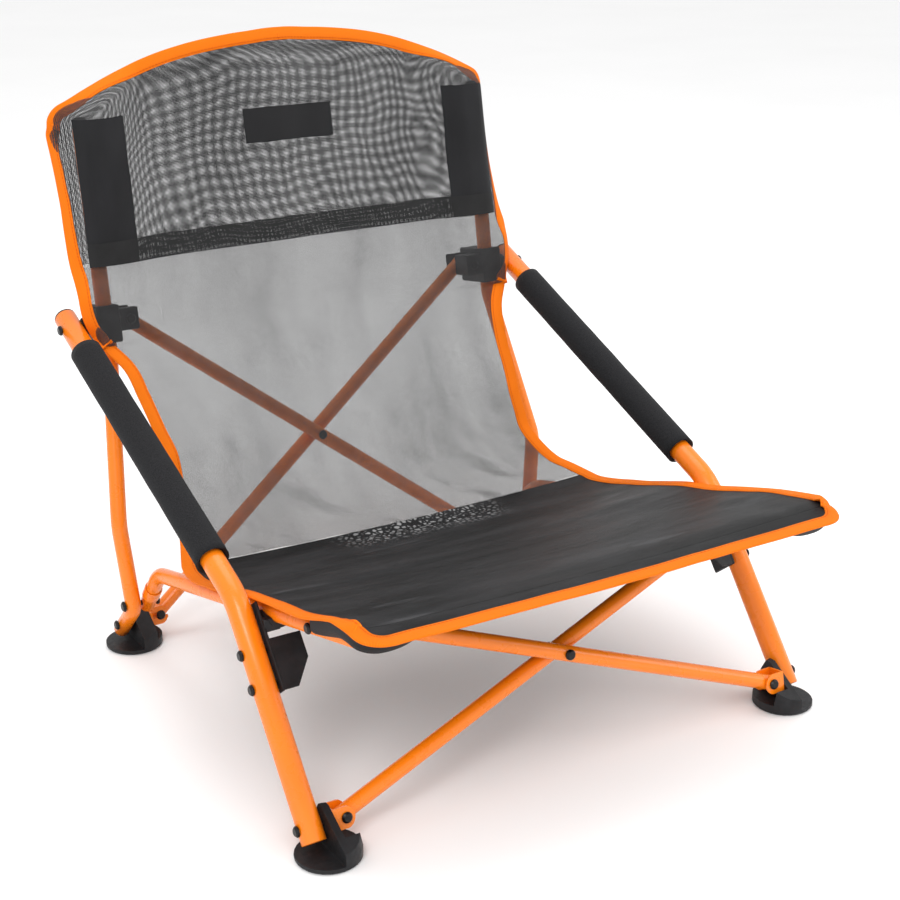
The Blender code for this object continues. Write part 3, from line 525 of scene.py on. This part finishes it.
def cross_frames(points):
    """For each point of a path, two directions square to it that don't twist along it."""
    tangents = []
    for index in range(len(points)):
        before, after = points[max(index - 1, 0)], points[min(index + 1, len(points) - 1)]
        tangents.append((after - before).normalized())
    side = tangents[0].orthogonal().normalized()
    frames = []
    for tangent in tangents:
        side = (side - tangent * side.dot(tangent)).normalized()
        frames.append((side, tangent.cross(side)))
    return frames


def ring_at(centre, first, second, radius, sides):
    """Points around a circle in the plane of two directions."""
    angles = [math.tau * k / sides for k in range(sides)]
    return [centre + (first * math.cos(a) + second * math.sin(a)) * radius for a in angles]


def tube(points, radius, sides=28):
    """A tube with rounded rims and ends that are hollow as far as they can be looked into."""
    frames = cross_frames(points)
    inner = radius - TUBE_WALL
    rings = []
    start_way = (points[1] - points[0]).normalized()
    end_way = (points[-1] - points[-2]).normalized()
    rim = (
        (TUBE_HOLLOW, inner), (TUBE_RIM, inner), (0, inner + TUBE_RIM), (0, radius - TUBE_RIM),
        (TUBE_RIM, radius),
    )
    for depth, size in rim:
        rings.append(ring_at(points[0] + start_way * depth, *frames[0], size, sides))
    for point, pair in list(zip(points, frames))[1:-1]:
        rings.append(ring_at(point, *pair, radius, sides))
    for depth, size in rim[::-1]:
        rings.append(ring_at(points[-1] - end_way * depth, *frames[-1], size, sides))
    return loft(rings)


def shade_by_angle(item, degrees):
    """Keeps edges sharper than this crisp, and shades the rest smooth."""
    work = bmesh.new()
    work.from_mesh(item.data)
    for edge in work.edges:
        edge.smooth = len(edge.link_faces) == 2 and edge.calc_face_angle(0) < math.radians(degrees)
    work.to_mesh(item.data)
    work.free()


def softened_copy(node, material, bevel):
    """A copy of a CAD node, in its place, with its edges rounded over. It stands for the node."""
    source = frame["nodes"][node]
    work = bmesh.new()
    work.from_mesh(source.data)
    bmesh.ops.remove_doubles(work, verts=work.verts, dist=0.00001)
    bmesh.ops.dissolve_limit(work, angle_limit=math.radians(1.5), verts=work.verts, edges=work.edges)
    item = add_piece(node + "_finished", work, material)
    shade_by_angle(item, SHARP_DEGREES)
    edge = item.modifiers.new("edges", "BEVEL")
    edge.width = bevel
    edge.segments = 2
    edge.limit_method = "ANGLE"
    edge.angle_limit = math.radians(SHARP_DEGREES)
    edge.harden_normals = True
    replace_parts(item, node)
    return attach(item, source["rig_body"])


# ---- The sling's surfaces --------------------------------------------------------------
def along_line(points, share):
    """The point at this share of a line's whole length, on a smooth curve through its points."""
    lengths = [0.0]
    for first, second in zip(points, points[1:]):
        lengths.append(lengths[-1] + math.dist(first, second))
    target = share * lengths[-1]
    index = 0
    while index < len(points) - 2 and target > lengths[index + 1]:
        index += 1
    t = (target - lengths[index]) / (lengths[index + 1] - lengths[index])
    p1, p2 = Vector(points[index]), Vector(points[index + 1])
    p0 = Vector(points[index - 1]) if index else 2 * p1 - p2
    p3 = Vector(points[index + 2]) if index + 2 < len(points) else 2 * p2 - p1
    return 0.5 * (
        2 * p1 + (p2 - p0) * t + (2 * p0 - 5 * p1 + 4 * p2 - p3) * t ** 2
        + (3 * p1 - p0 - 3 * p2 + p3) * t ** 3
    )


@functools.lru_cache(maxsize=None)
def edge_at(share):
    """Y, Z and half width of the back at a share of its side edge."""
    return tuple(along_line(BACK_EDGE, share))


@functools.lru_cache(maxsize=None)
def share_at(z):
    """The share of the back's side edge at which it reaches this height."""
    low, high = 0.0, 1.0
    for _ in range(40):
        middle = (low + high) / 2
        if edge_at(middle)[1] > z:
            low = middle
        else:
            high = middle
    return high


def line_length(points):
    return sum(math.dist(first, second) for first, second in zip(points, points[1:]))


def eased(value, low, high):
    """0 below low, 1 above high, and a smooth step between."""
    share = min(1.0, max(0.0, (value - low) / (high - low)))
    return share * share * (3 - 2 * share)


def fading(value, low, high):
    """1 below low, 0 above high, and a smooth step between."""
    return eased(-value, -high, -low)


def wave(x, y, z):
    """Smooth noise between -1 and 1."""
    return noise.noise(Vector((x, y, z)))


BAND_SHARE = share_at(BAND_Z)
HEAD_LENGTH = CORNER_Z - BAND_Z
LOW_LENGTH = line_length(BACK_EDGE) * (1 - BAND_SHARE)
SEAT_LENGTH = line_length(SEAT_EDGE)


def corner_drop(across, half, radius):
    """How far a straight edge falls as it rounds a corner, near the side at half a width."""
    reach = max(0.0, abs(across) * half - (half - radius))
    return radius - math.sqrt(max(0.0, radius ** 2 - reach ** 2))


def upright_y(z):
    """Y of the leaning uprights' axes at a height."""
    return UPRIGHT_Y + (z - HUB_Z) * LEAN


def arch(across):
    """How far the headrest's top is above its corners."""
    return ARCH_RISE * (1 - abs(across) ** ARCH_POWER) - corner_drop(across, HEAD_HALF, CORNER_R)


def front_y(y, z, half, across, wrapped=1.0):
    """Y of the cloth in front of the uprights, from the Y of its side edges at this height.

    Beside a hub it stands clear of the hub. Above, it bends over the upright and leaves it straight
    towards the side edge, and below, it doesn't come forward at all.
    """
    clear = HUB_CLEAR + (TUBE_CLEAR - HUB_CLEAR) * eased(z, *HUB_TOP)
    wrap = max(0.0, y - upright_y(z) + clear) * eased(z, *HUB_FOOT) * wrapped
    x = abs(across) * half
    wide = 1 - eased(x, WRAP_END_X, half + 0.001)
    bent = 1 - TANGENT_DROP * (max(0.0, x - UPRIGHT_X) / TANGENT_X) ** 2
    straight = (1 - TANGENT_DROP) * max(0.0, half - x) / (half - UPRIGHT_X - TANGENT_X)
    near = eased(x, *WRAP_X) * (wide + (min(bent, straight) - wide) * eased(z, HUB_TOP[0], BAND_Z))
    hollow = BACK_SAG * fading(z, 0.33, 0.45) * eased(z, 0.16, 0.24)
    middle = HEAD_FORWARD * eased(z, 0.45, 0.57) - hollow
    return y - wrap * near - middle * (1 - across ** 2)


def back_folds(x, z, half):
    """Slack in the back, largest low down and none where it passes the uprights or is bound."""
    free = 1 - abs(x / half) ** 8
    if z > 0.33:
        free = 1 - eased(abs(x), WRAP_X[0] * 0.8, WRAP_X[1] * 0.97)
    slack = fading(z, 0.20, 0.36)
    tall = 0.0026 * wave(x * 8, z * 3.5, 0.3) + 0.0008 * wave(x * 30, z * 6, 9.1)
    low = 0.0060 * wave(x * 13 + z * 9, z * 10, 1.7) + 0.0025 * wave(x * 34 + z * 20, z * 17, 5.2)
    return free * (tall + slack * low * eased(z, 0.150, 0.175))


def head_point(down, across):
    """The front of the headrest: down goes from its arched top to its lower edge."""
    z_side = CORNER_Z + (BAND_Z - CORNER_Z) * down
    y, _, half = edge_at(share_at(z_side))
    z = BAND_Z + (HEAD_LENGTH + arch(across)) * (1 - down)
    open_top = 0.15 + 0.85 * eased(down, 0, 0.10)
    y = front_y(y, z_side, half, across, open_top) + ARCH_LEAN * (z - z_side)
    return place(half * across, y + back_folds(half * across, z, half), z)


def head_at(z, across):
    """The point of the headrest's front at a height instead of a share."""
    return head_point(1 - (z - BAND_Z) / (HEAD_LENGTH + arch(across)), across)


def back_point(down, across):
    """The lower back: down goes from the headrest's lower edge to the seat."""
    y, z, half = edge_at(BAND_SHARE + (1 - BAND_SHARE) * down)
    sag = JOIN_SAG * (1 - across ** 2) * fading(z, 0.17, 0.24)
    y = front_y(y, z, half, across)
    return place(half * across, y + back_folds(half * across, z, half), z - sag)


def pocket_point(down, across):
    """The rear layer of the headrest, behind the uprights."""
    z_side = CORNER_Z + (BAND_Z - CORNER_Z) * down
    y, _, half = edge_at(share_at(z_side))
    behind = max(0.0, upright_y(z_side) + TUBE_CLEAR - y) * (1 - across ** 20)
    rise = arch(across) * (1 - down)
    bow = 0.004 * (1 - across ** 2) * eased(down, 0, 0.2) + 0.0018
    close = HEAD_FORWARD * (1 - across ** 2) * (1 - eased(down, 0, 0.16))
    y += bow + behind - close + ARCH_LEAN * rise
    return place((half - POCKET_INSET) * across, y, z_side + rise)


def seat_point(ahead, across, ripple=1.0):
    """The seat: ahead goes from the back's lower edge to the front edge, with rounded front corners."""
    y, z, half = along_line(SEAT_EDGE, ahead)
    if ahead > ROUND_FROM:
        start, end = along_line(SEAT_EDGE, ROUND_FROM).x, SEAT_EDGE[-1][0]
        share = (y - start) / (end - start)
        y = start + share * (end + corner_drop(across, half, SEAT_CORNER_R) - start)
    outer = eased(abs(across), 0.84, 1.0)
    z -= SEAT_CORNER_DROP * outer * eased(ahead, ROUND_FROM, 1.0)
    if across < 0:
        z += CRUMPLE_RISE * outer * math.exp(-((y - CRUMPLE_Y) / CRUMPLE_REACH) ** 2)
    sag = JOIN_SAG + (SEAT_SAG - JOIN_SAG) * eased(ahead, 0, 0.4)
    sag *= (1 - across ** 2) * (1 - 0.7 * eased(ahead, 0.6, 1))
    inside = (1 - across ** 10) * (1 - (2 * abs(ahead - 0.5)) ** 12) * ripple
    x = half * across
    folds = 0.0036 * wave(x * 2.6, y * 13 + x * 1.5, 7.1) + 0.0014 * wave(x * 6, y * 34, 3.3)
    folds += 0.0016 * wave(x * 24, y * 24, 8.8) * eased(abs(across), 0.55, 0.9)
    return place(x, y, z - sag + folds * inside)


def cloth(name, point_at, downs, acrosses, size, material):
    """A sheet over a grid of shares, its UV in metres.

    Both halves get the same normals along the middle of the chair, so that no seam shows there.
    """
    work = bmesh.new()
    layer = work.loops.layers.uv.new("cloth")
    grid = [[work.verts.new(point_at(down, across)) for across in acrosses] for down in downs]
    width, length = size
    flat = {
        vertex: (width * (across + 1) / 2, length * down)
        for down, row in zip(downs, grid) for across, vertex in zip(acrosses, row)
    }
    for first, second in zip(grid, grid[1:]):
        for k in range(len(acrosses) - 1):
            face = work.faces.new((first[k], second[k], second[k + 1], first[k + 1]))
            for loop in face.loops:
                loop[layer].uv = flat[loop.vert]
    item = add_piece(name, work, material)
    normals = [vertex.normal.copy() for vertex in item.data.vertices]
    for row, down in enumerate(downs):
        for column in (0, len(acrosses) - 1):
            if acrosses[column]:
                continue
            low, high = max(0.0, down - NORMAL_STEP), min(1.0, down + NORMAL_STEP)
            along = point_at(high, 0.0) - point_at(low, 0.0)
            level = point_at(down, NORMAL_STEP) - point_at(down, -NORMAL_STEP)
            normal = along.cross(level).normalized()
            index = row * len(acrosses) + column
            normals[index] = normal if normal.dot(normals[index]) > 0 else -normal
    item.data.normals_split_custom_set_from_vertices(normals)
    return item


def binding(name, edge_points, inward, material):
    """Tape folded over an edge: a flat, rounded ring swept along the edge's points."""
    width, half_t = BINDING_WIDTH, BINDING_HALF_T
    tangents = [
        (edge_points[min(k + 1, len(edge_points) - 1)] - edge_points[max(k - 1, 0)]).normalized()
        for k in range(len(edge_points))
    ]
    profile = []               # across the tape and out of it: round at the edge, thinner inside
    for k in range(7):
        angle = math.pi / 2 + math.pi * k / 6
        profile.append((half_t + half_t * math.cos(angle), half_t * math.sin(angle)))
    below = [(width * 0.5, -half_t * 0.9), (width - 0.0004, -half_t * 0.72), (width, -half_t * 0.4)]
    profile += below + [(u, -v) for u, v in below[::-1]]
    rings, run, lengths = [], 0.0, []
    for k, (point, tangent, inner) in enumerate(zip(edge_points, tangents, inward)):
        inner = (inner - tangent * inner.dot(tangent)).normalized()
        face = tangent.cross(inner)
        rings.append([point + inner * (u - half_t * 1.6) + face * v for u, v in profile])
        run += (point - edge_points[k - 1]).length if k else 0.0
        lengths.append(run)
    work = loft(rings)
    layer = work.loops.layers.uv.new("cloth")
    work.verts.index_update()
    count = len(profile)
    for face in work.faces:
        for loop in face.loops:
            row, column = divmod(loop.vert.index, count)
            loop[layer].uv = (profile[column][0], lengths[row])
    item = add_piece(name, work, material)
    shade_by_angle(item, 60)
    return item


def wavy(point, inner, run):
    """Moves an edge point in and out a little, as a gathered edge wanders along its run."""
    return point + inner * TAPE_WANDER * wave(run * 23.0, 0.5, 2.0)


def edge_run(stations):
    """Edge points and the ways inward from them.

    A station is a surface, an edge point's shares on it, and the shares of a point further in.
    """
    points, inward = [], []
    run = 0.0
    for surface, at, toward in stations:
        point = surface(*at)
        inner = (surface(*toward) - point).normalized()
        if points:
            run += (point - points[-1]).length
        points.append(wavy(point, inner, run))
        inward.append(inner)
    return points, inward


# ---- Pieces ----------------------------------------------------------------------------
def follow_frame(item):
    """Bakes the piece's place into its mesh, and leaves it on no body."""
    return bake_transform(item)


def half_shares(side, count, crowd):
    """Shares from the middle to one side, closer together near the side, in rising order."""
    steady = [k / count for k in range(count + 1)]
    outward = [(1 - crowd) * s + crowd * math.sin(s * math.pi / 2) for s in steady]
    return [side * s for s in outward][::side]


def foam_rings(start, end, side):
    """Rings of the foam sleeve from start to end: rounded ends, and a slightly uneven body."""
    down = (end - start).normalized()
    length = (end - start).length
    pair = cross_frames([start, end])[0]

    def ring(reach, radius):
        return ring_at(start + down * reach, *pair, radius, 32)

    rounds = [1 - math.sin(math.pi / 2 * k / 5) for k in range(6)]
    ends = [(GRIP_ROUND * left, GRIP_R - GRIP_ROUND * left ** 0.7) for left in rounds]
    ends.insert(0, (0.004, ARM_R + 0.0003))
    rings = [ring(reach, radius) for reach, radius in ends]
    count = 60
    for k in range(1, count):
        share = k / count
        radius = GRIP_R + GRIP_WANDER * wave(share * 9, side * 3.0, 0)
        rings.append(ring(GRIP_ROUND + (length - 2 * GRIP_ROUND) * share, radius))
    return rings + [ring(length - reach, radius) for reach, radius in ends[::-1]]


def make_arm(name, side, paint, foam):
    """The bent tube of one arm and front leg, with its foam sleeve."""
    corners = [place(side * ARM_X, *point) for point in ARM_PATH]
    path = rounded_path(corners, ARM_BEND_R, 26)
    arm = add_piece(f"{name}_arm", tube(path, ARM_R, 36), paint)
    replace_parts(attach(arm, f"{name}_arm"), f"{name}_arm_tube")
    down = (corners[1] - corners[0]).normalized()
    start, end = [corners[0] + down * ((ARM_PATH[0][0] - y) / -down.y) for y in GRIP_Y]
    sleeve = loft(foam_rings(start, end, side))
    grip = add_piece(f"{name}_foam_sleeve", sleeve, foam)
    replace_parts(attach(grip, f"{name}_arm"), f"{name}_arm_grip")


def make_small_parts(paint, nylon, steel):
    """Every rigid CAD node that isn't replaced by a finer one gets its finish and rounded edges."""
    finishes = {
        "orange_paint": (paint, 0.0004), "black_nylon": (nylon, 0.0006), "black_steel": (steel, 0.0003),
    }
    for part in frame["record"]["subparts"]:
        node, slot = part["node"], part["material_slot"]
        if slot in finishes and not frame["nodes"][node].hide_render:
            material, bevel = finishes[slot]
            softened_copy(node, material, bevel)


def make_back(name, side, cloths):
    """One half of the headrest and the lower back, from the middle of the chair to its side."""
    acrosses = half_shares(side, 54, 0.5)
    width = 2 * HEAD_HALF
    head_size = (width, HEAD_LENGTH + ARCH_ADDS)
    forward = Vector((0, -1, 0))

    def on_strip(down, across):
        z = STRIP_TOP_Z + (BAND_Z - STRIP_TOP_Z) * down
        return head_at(z, across) + forward * STRIP_LIFT

    def on_hem(down, across):
        z = HEM_TOP_Z + (BAND_Z - HEM_TOP_Z) * down
        return head_at(z, across * UNDER_TAPE) + forward * HEM_LIFT

    def on_label(down, across):
        z = LABEL_Z[1] + (LABEL_Z[0] - LABEL_Z[1]) * down
        return head_at(z, across * LABEL_X / HEAD_HALF) + forward * LABEL_LIFT

    def sheet_of(piece, point_at, rows, columns, size, cloth_name):
        downs = [k / rows for k in range(rows + 1)]
        return cloth(f"{name}_{piece}", point_at, downs, columns, size, cloths[cloth_name])

    strip_shares = [UNDER_TAPE - (UNDER_TAPE - STRIP_INNER) * k / 12 for k in range(13)]
    strip_columns = [side * share for share in strip_shares][::-side]
    label_columns = [side * k / 10 for k in range(11)][::side]
    back_size = (width, LOW_LENGTH)
    strip_size = (width, HEAD_LENGTH)
    hem_size = (width, HEM_TOP_Z - BAND_Z)
    label_size = (2 * LABEL_X, LABEL_Z[1] - LABEL_Z[0])
    head = sheet_of("headrest_front", head_point, 48, acrosses, head_size, "head_mesh")
    rear = sheet_of("headrest_rear", pocket_point, 24, acrosses, head_size, "rear_mesh")
    back = sheet_of("back_mesh", back_point, 84, acrosses, back_size, "back_mesh")
    strip = sheet_of("side_strip", on_strip, 40, strip_columns, strip_size, "strip")
    hem = sheet_of("headrest_hem", on_hem, 6, acrosses, hem_size, "hem")
    label = sheet_of("headrest_label", on_label, 10, label_columns, label_size, "label")
    for piece in (head, rear, strip, hem, label):
        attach(piece, f"{name}_upright")
    follow_frame(back)
    for piece, node in ((head, "back_panel"), (back, "back_panel"), (rear, "headrest_pocket")):
        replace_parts(piece, node)


def make_seat(name, side, cloths):
    """One half of the seat, with the pocket under its front corner that takes the rail."""
    acrosses = half_shares(side, 60, 0.5)
    width = 2 * HEAD_HALF
    seat = cloth(
        f"{name}_seat_cover", seat_point, [k / 130 for k in range(131)], acrosses,
        (width, SEAT_LENGTH), cloths["seat"],
    )

    def under(ahead, across):
        inner = min(1.0, max(0.0, (SLEEVE_OUTER - abs(across)) / SLEEVE_WIDE))
        drop = SLEEVE_DEEP * math.sin(math.pi * inner) ** 0.22 * (1 - eased(ahead, 0.945, 0.975))
        return seat_point(ahead, across, 0.3) - Vector((0, 0, 0.003 + drop))

    band = [side * (SLEEVE_OUTER - SLEEVE_WIDE * (k / 20) ** 2) for k in range(21)][::-side]
    pocket = cloth(
        f"{name}_rail_pocket", under, [SLEEVE_REAR + SLEEVE_LONG * k / 24 for k in range(25)], band,
        (width, SEAT_LENGTH), cloths["strip"],
    )
    follow_frame(seat)
    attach(pocket, f"{name}_rail")
    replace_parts(seat, "seat_panel")


def make_binding(name, side, tape):
    """The tape around one half of the sling: its arched top, its side and its front edge.

    Near a corner its inner side turns towards the middle of the rounding, so that it doesn't fold.
    """
    outward = [math.sin(k / 110 * math.pi / 2) for k in range(111)]
    stations = []
    for a in outward:
        turn = eased(a, TURN_FROM, 1.0)
        inner = (0.08 + 0.22 * turn, side * a * (1 - 0.24 * turn))
        stations.append((head_point, (0.0, side * a), inner))
    for k in range(2, 60):
        turn = 1 - eased(k / 60, 0, 0.25)
        inner = (k / 60 + 0.27 * turn, side * (0.96 - 0.20 * turn))
        stations.append((head_point, (k / 60, side), inner))
    stations += [(back_point, (k / 120, side), (k / 120, side * 0.96)) for k in range(120)]
    for k in range(159):
        turn = eased(k / 160, TURN_FROM, 1.0)
        stations.append((seat_point, (k / 160, side), (k / 160 - 0.032 * turn, side * 0.95)))
    for a in outward[::-1]:
        turn = eased(a, TURN_FROM, 1.0)
        stations.append((seat_point, (1.0, side * a), (0.966, side * a * (1 - 0.05 * turn))))
    points, inward = edge_run(stations)
    corner = seat_point(1.0, side)
    for point in points:
        point.z += CORNER_LIFT * math.exp(-((point - corner).length / LIFT_REACH) ** 2)
    return follow_frame(binding(f"{name}_sling_binding", points, inward, tape))


def make_frame_tubes(name, side, paint):
    """The upright and the seat rail of one side, as round tubes in place of the faceted ones."""
    top = place(side * UPRIGHT_X, upright_y(UPRIGHT_TOP_Z), UPRIGHT_TOP_Z)
    bend = place(side * UPRIGHT_X, upright_y(UPRIGHT_BEND_Z), UPRIGHT_BEND_Z)
    lower = [place(side * x, y, z) for x, y, z in UPRIGHT_LOWER]
    path = rounded_path([top, bend, lower[0]], UPRIGHT_BEND_R[0], 12)[:-1]
    path += rounded_path([bend, *lower[:2]], UPRIGHT_BEND_R[1], 12)[1:-1]
    path += rounded_path(lower, UPRIGHT_BEND_R[2], 12)[1:]
    upright = add_piece(f"{name}_upright", tube(path, UPRIGHT_R), paint)
    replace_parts(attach(upright, f"{name}_upright"), f"{name}_upright_tube")
    pivot, elbow, front = [
        place(side * point[0], *point[1:]) for point in (RAIL_PIVOT, RAIL_BEND, RAIL_FRONT)
    ]
    start = pivot - (elbow - pivot).normalized() * RAIL_REAR
    path = rounded_path([start, elbow, front], RAIL_BEND_R, 14)
    rail = add_piece(f"{name}_rail", tube(path, RAIL_R), paint)
    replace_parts(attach(rail, f"{name}_rail"), f"{name}_seat_rail")


# ---- Floor, light and camera -----------------------------------------------------------
def make_studio():
    """A wide pale floor, an even white world, and three soft lamps."""
    work = bmesh.new()
    bmesh.ops.create_grid(work, x_segments=2, y_segments=2, size=40)
    mesh = bpy.data.meshes.new("studio_floor")
    work.to_mesh(mesh)
    work.free()
    mesh.materials.append(floor_paint())
    floor = bpy.data.objects.new("studio_floor", mesh)
    floor.location.z = -0.0005
    bpy.context.scene.collection.objects.link(floor)
    world = bpy.context.scene.world or bpy.data.worlds.new("studio")
    bpy.context.scene.world = world
    world.use_nodes = True
    sky = world.node_tree.nodes["Background"]
    sky.inputs["Color"].default_value = (1, 1, 1, 1)
    sky.inputs["Strength"].default_value = 0.95
    for name, where, size, power in (
        ("key_light", (-1.9, -1.9, 2.6), 1.4, 45),
        ("fill_light", (2.2, -1.4, 1.8), 1.8, 22),
        ("top_light", (0.2, 0.6, 3.0), 2.2, 30),
    ):
        light = bpy.data.lights.new(name, "AREA")
        light.energy = power
        light.size = size
        lamp = bpy.data.objects.new(name, light)
        lamp.location = where
        lamp.rotation_euler = (Vector((0, 0, 0.3)) - Vector(where)).to_track_quat("-Z", "Y").to_euler()
        bpy.context.scene.collection.objects.link(lamp)


def make_camera():
    """From the front left and above."""
    data = bpy.data.cameras.new("camera")
    data.lens = LENS
    data.sensor_width = 36
    camera = bpy.data.objects.new("camera", data)
    back, right = Vector(CAMERA_BACK).normalized(), Vector(CAMERA_RIGHT).normalized()
    turn = Matrix((right, back.cross(right), back)).transposed()
    camera.matrix_world = Matrix.Translation(CAMERA_AT) @ turn.to_4x4()
    bpy.context.scene.collection.objects.link(camera)
    bpy.context.scene.camera = camera


def main():
    """Builds the pieces, the studio and the camera."""
    paint, nylon, steel, foam = powder_coat(), moulded_nylon(), black_steel(), grey_foam()
    cloths = {
        "strip": woven(
            "strip_webbing", (0.006, 0.006, 0.007), (0.012, 0.012, 0.014),
            pitch=0.0011, rough=0.6, sheen=0.02,
        ),
        "seat": seat_weave(),
        "label": woven(
            "label_satin", (0.004, 0.004, 0.005), (0.008, 0.008, 0.009),
            pitch=0.0007, rough=0.4, sheen=0.0,
        ),
        "hem": open_mesh("hem_net", pitch=0.0011, half_hole=0.135, drift=0.002, bright=0.3),
        "back_mesh": open_mesh("back_net", pitch=0.0010, half_hole=0.262, drift=0.0025, crease_shade_amount=0.05),
        "head_mesh": open_mesh("headrest_net", pitch=MESH_PITCH, half_hole=0.300, drift=0.006),
        "rear_mesh": open_mesh(
            "headrest_rear_net", pitch=MESH_PITCH * REAR_PITCH, half_hole=0.300, drift=0.010,
        ),
    }
    tape = ribbed_tape()
    for name, side in SIDES:
        make_arm(name, side, paint, foam)
        make_frame_tubes(name, side, paint)
        make_back(name, side, cloths)
        make_seat(name, side, cloths)
        make_binding(name, side, tape)
    make_small_parts(paint, nylon, steel)
    make_studio()
    make_camera()
    bpy.context.scene.view_settings.view_transform = "Standard"


main()
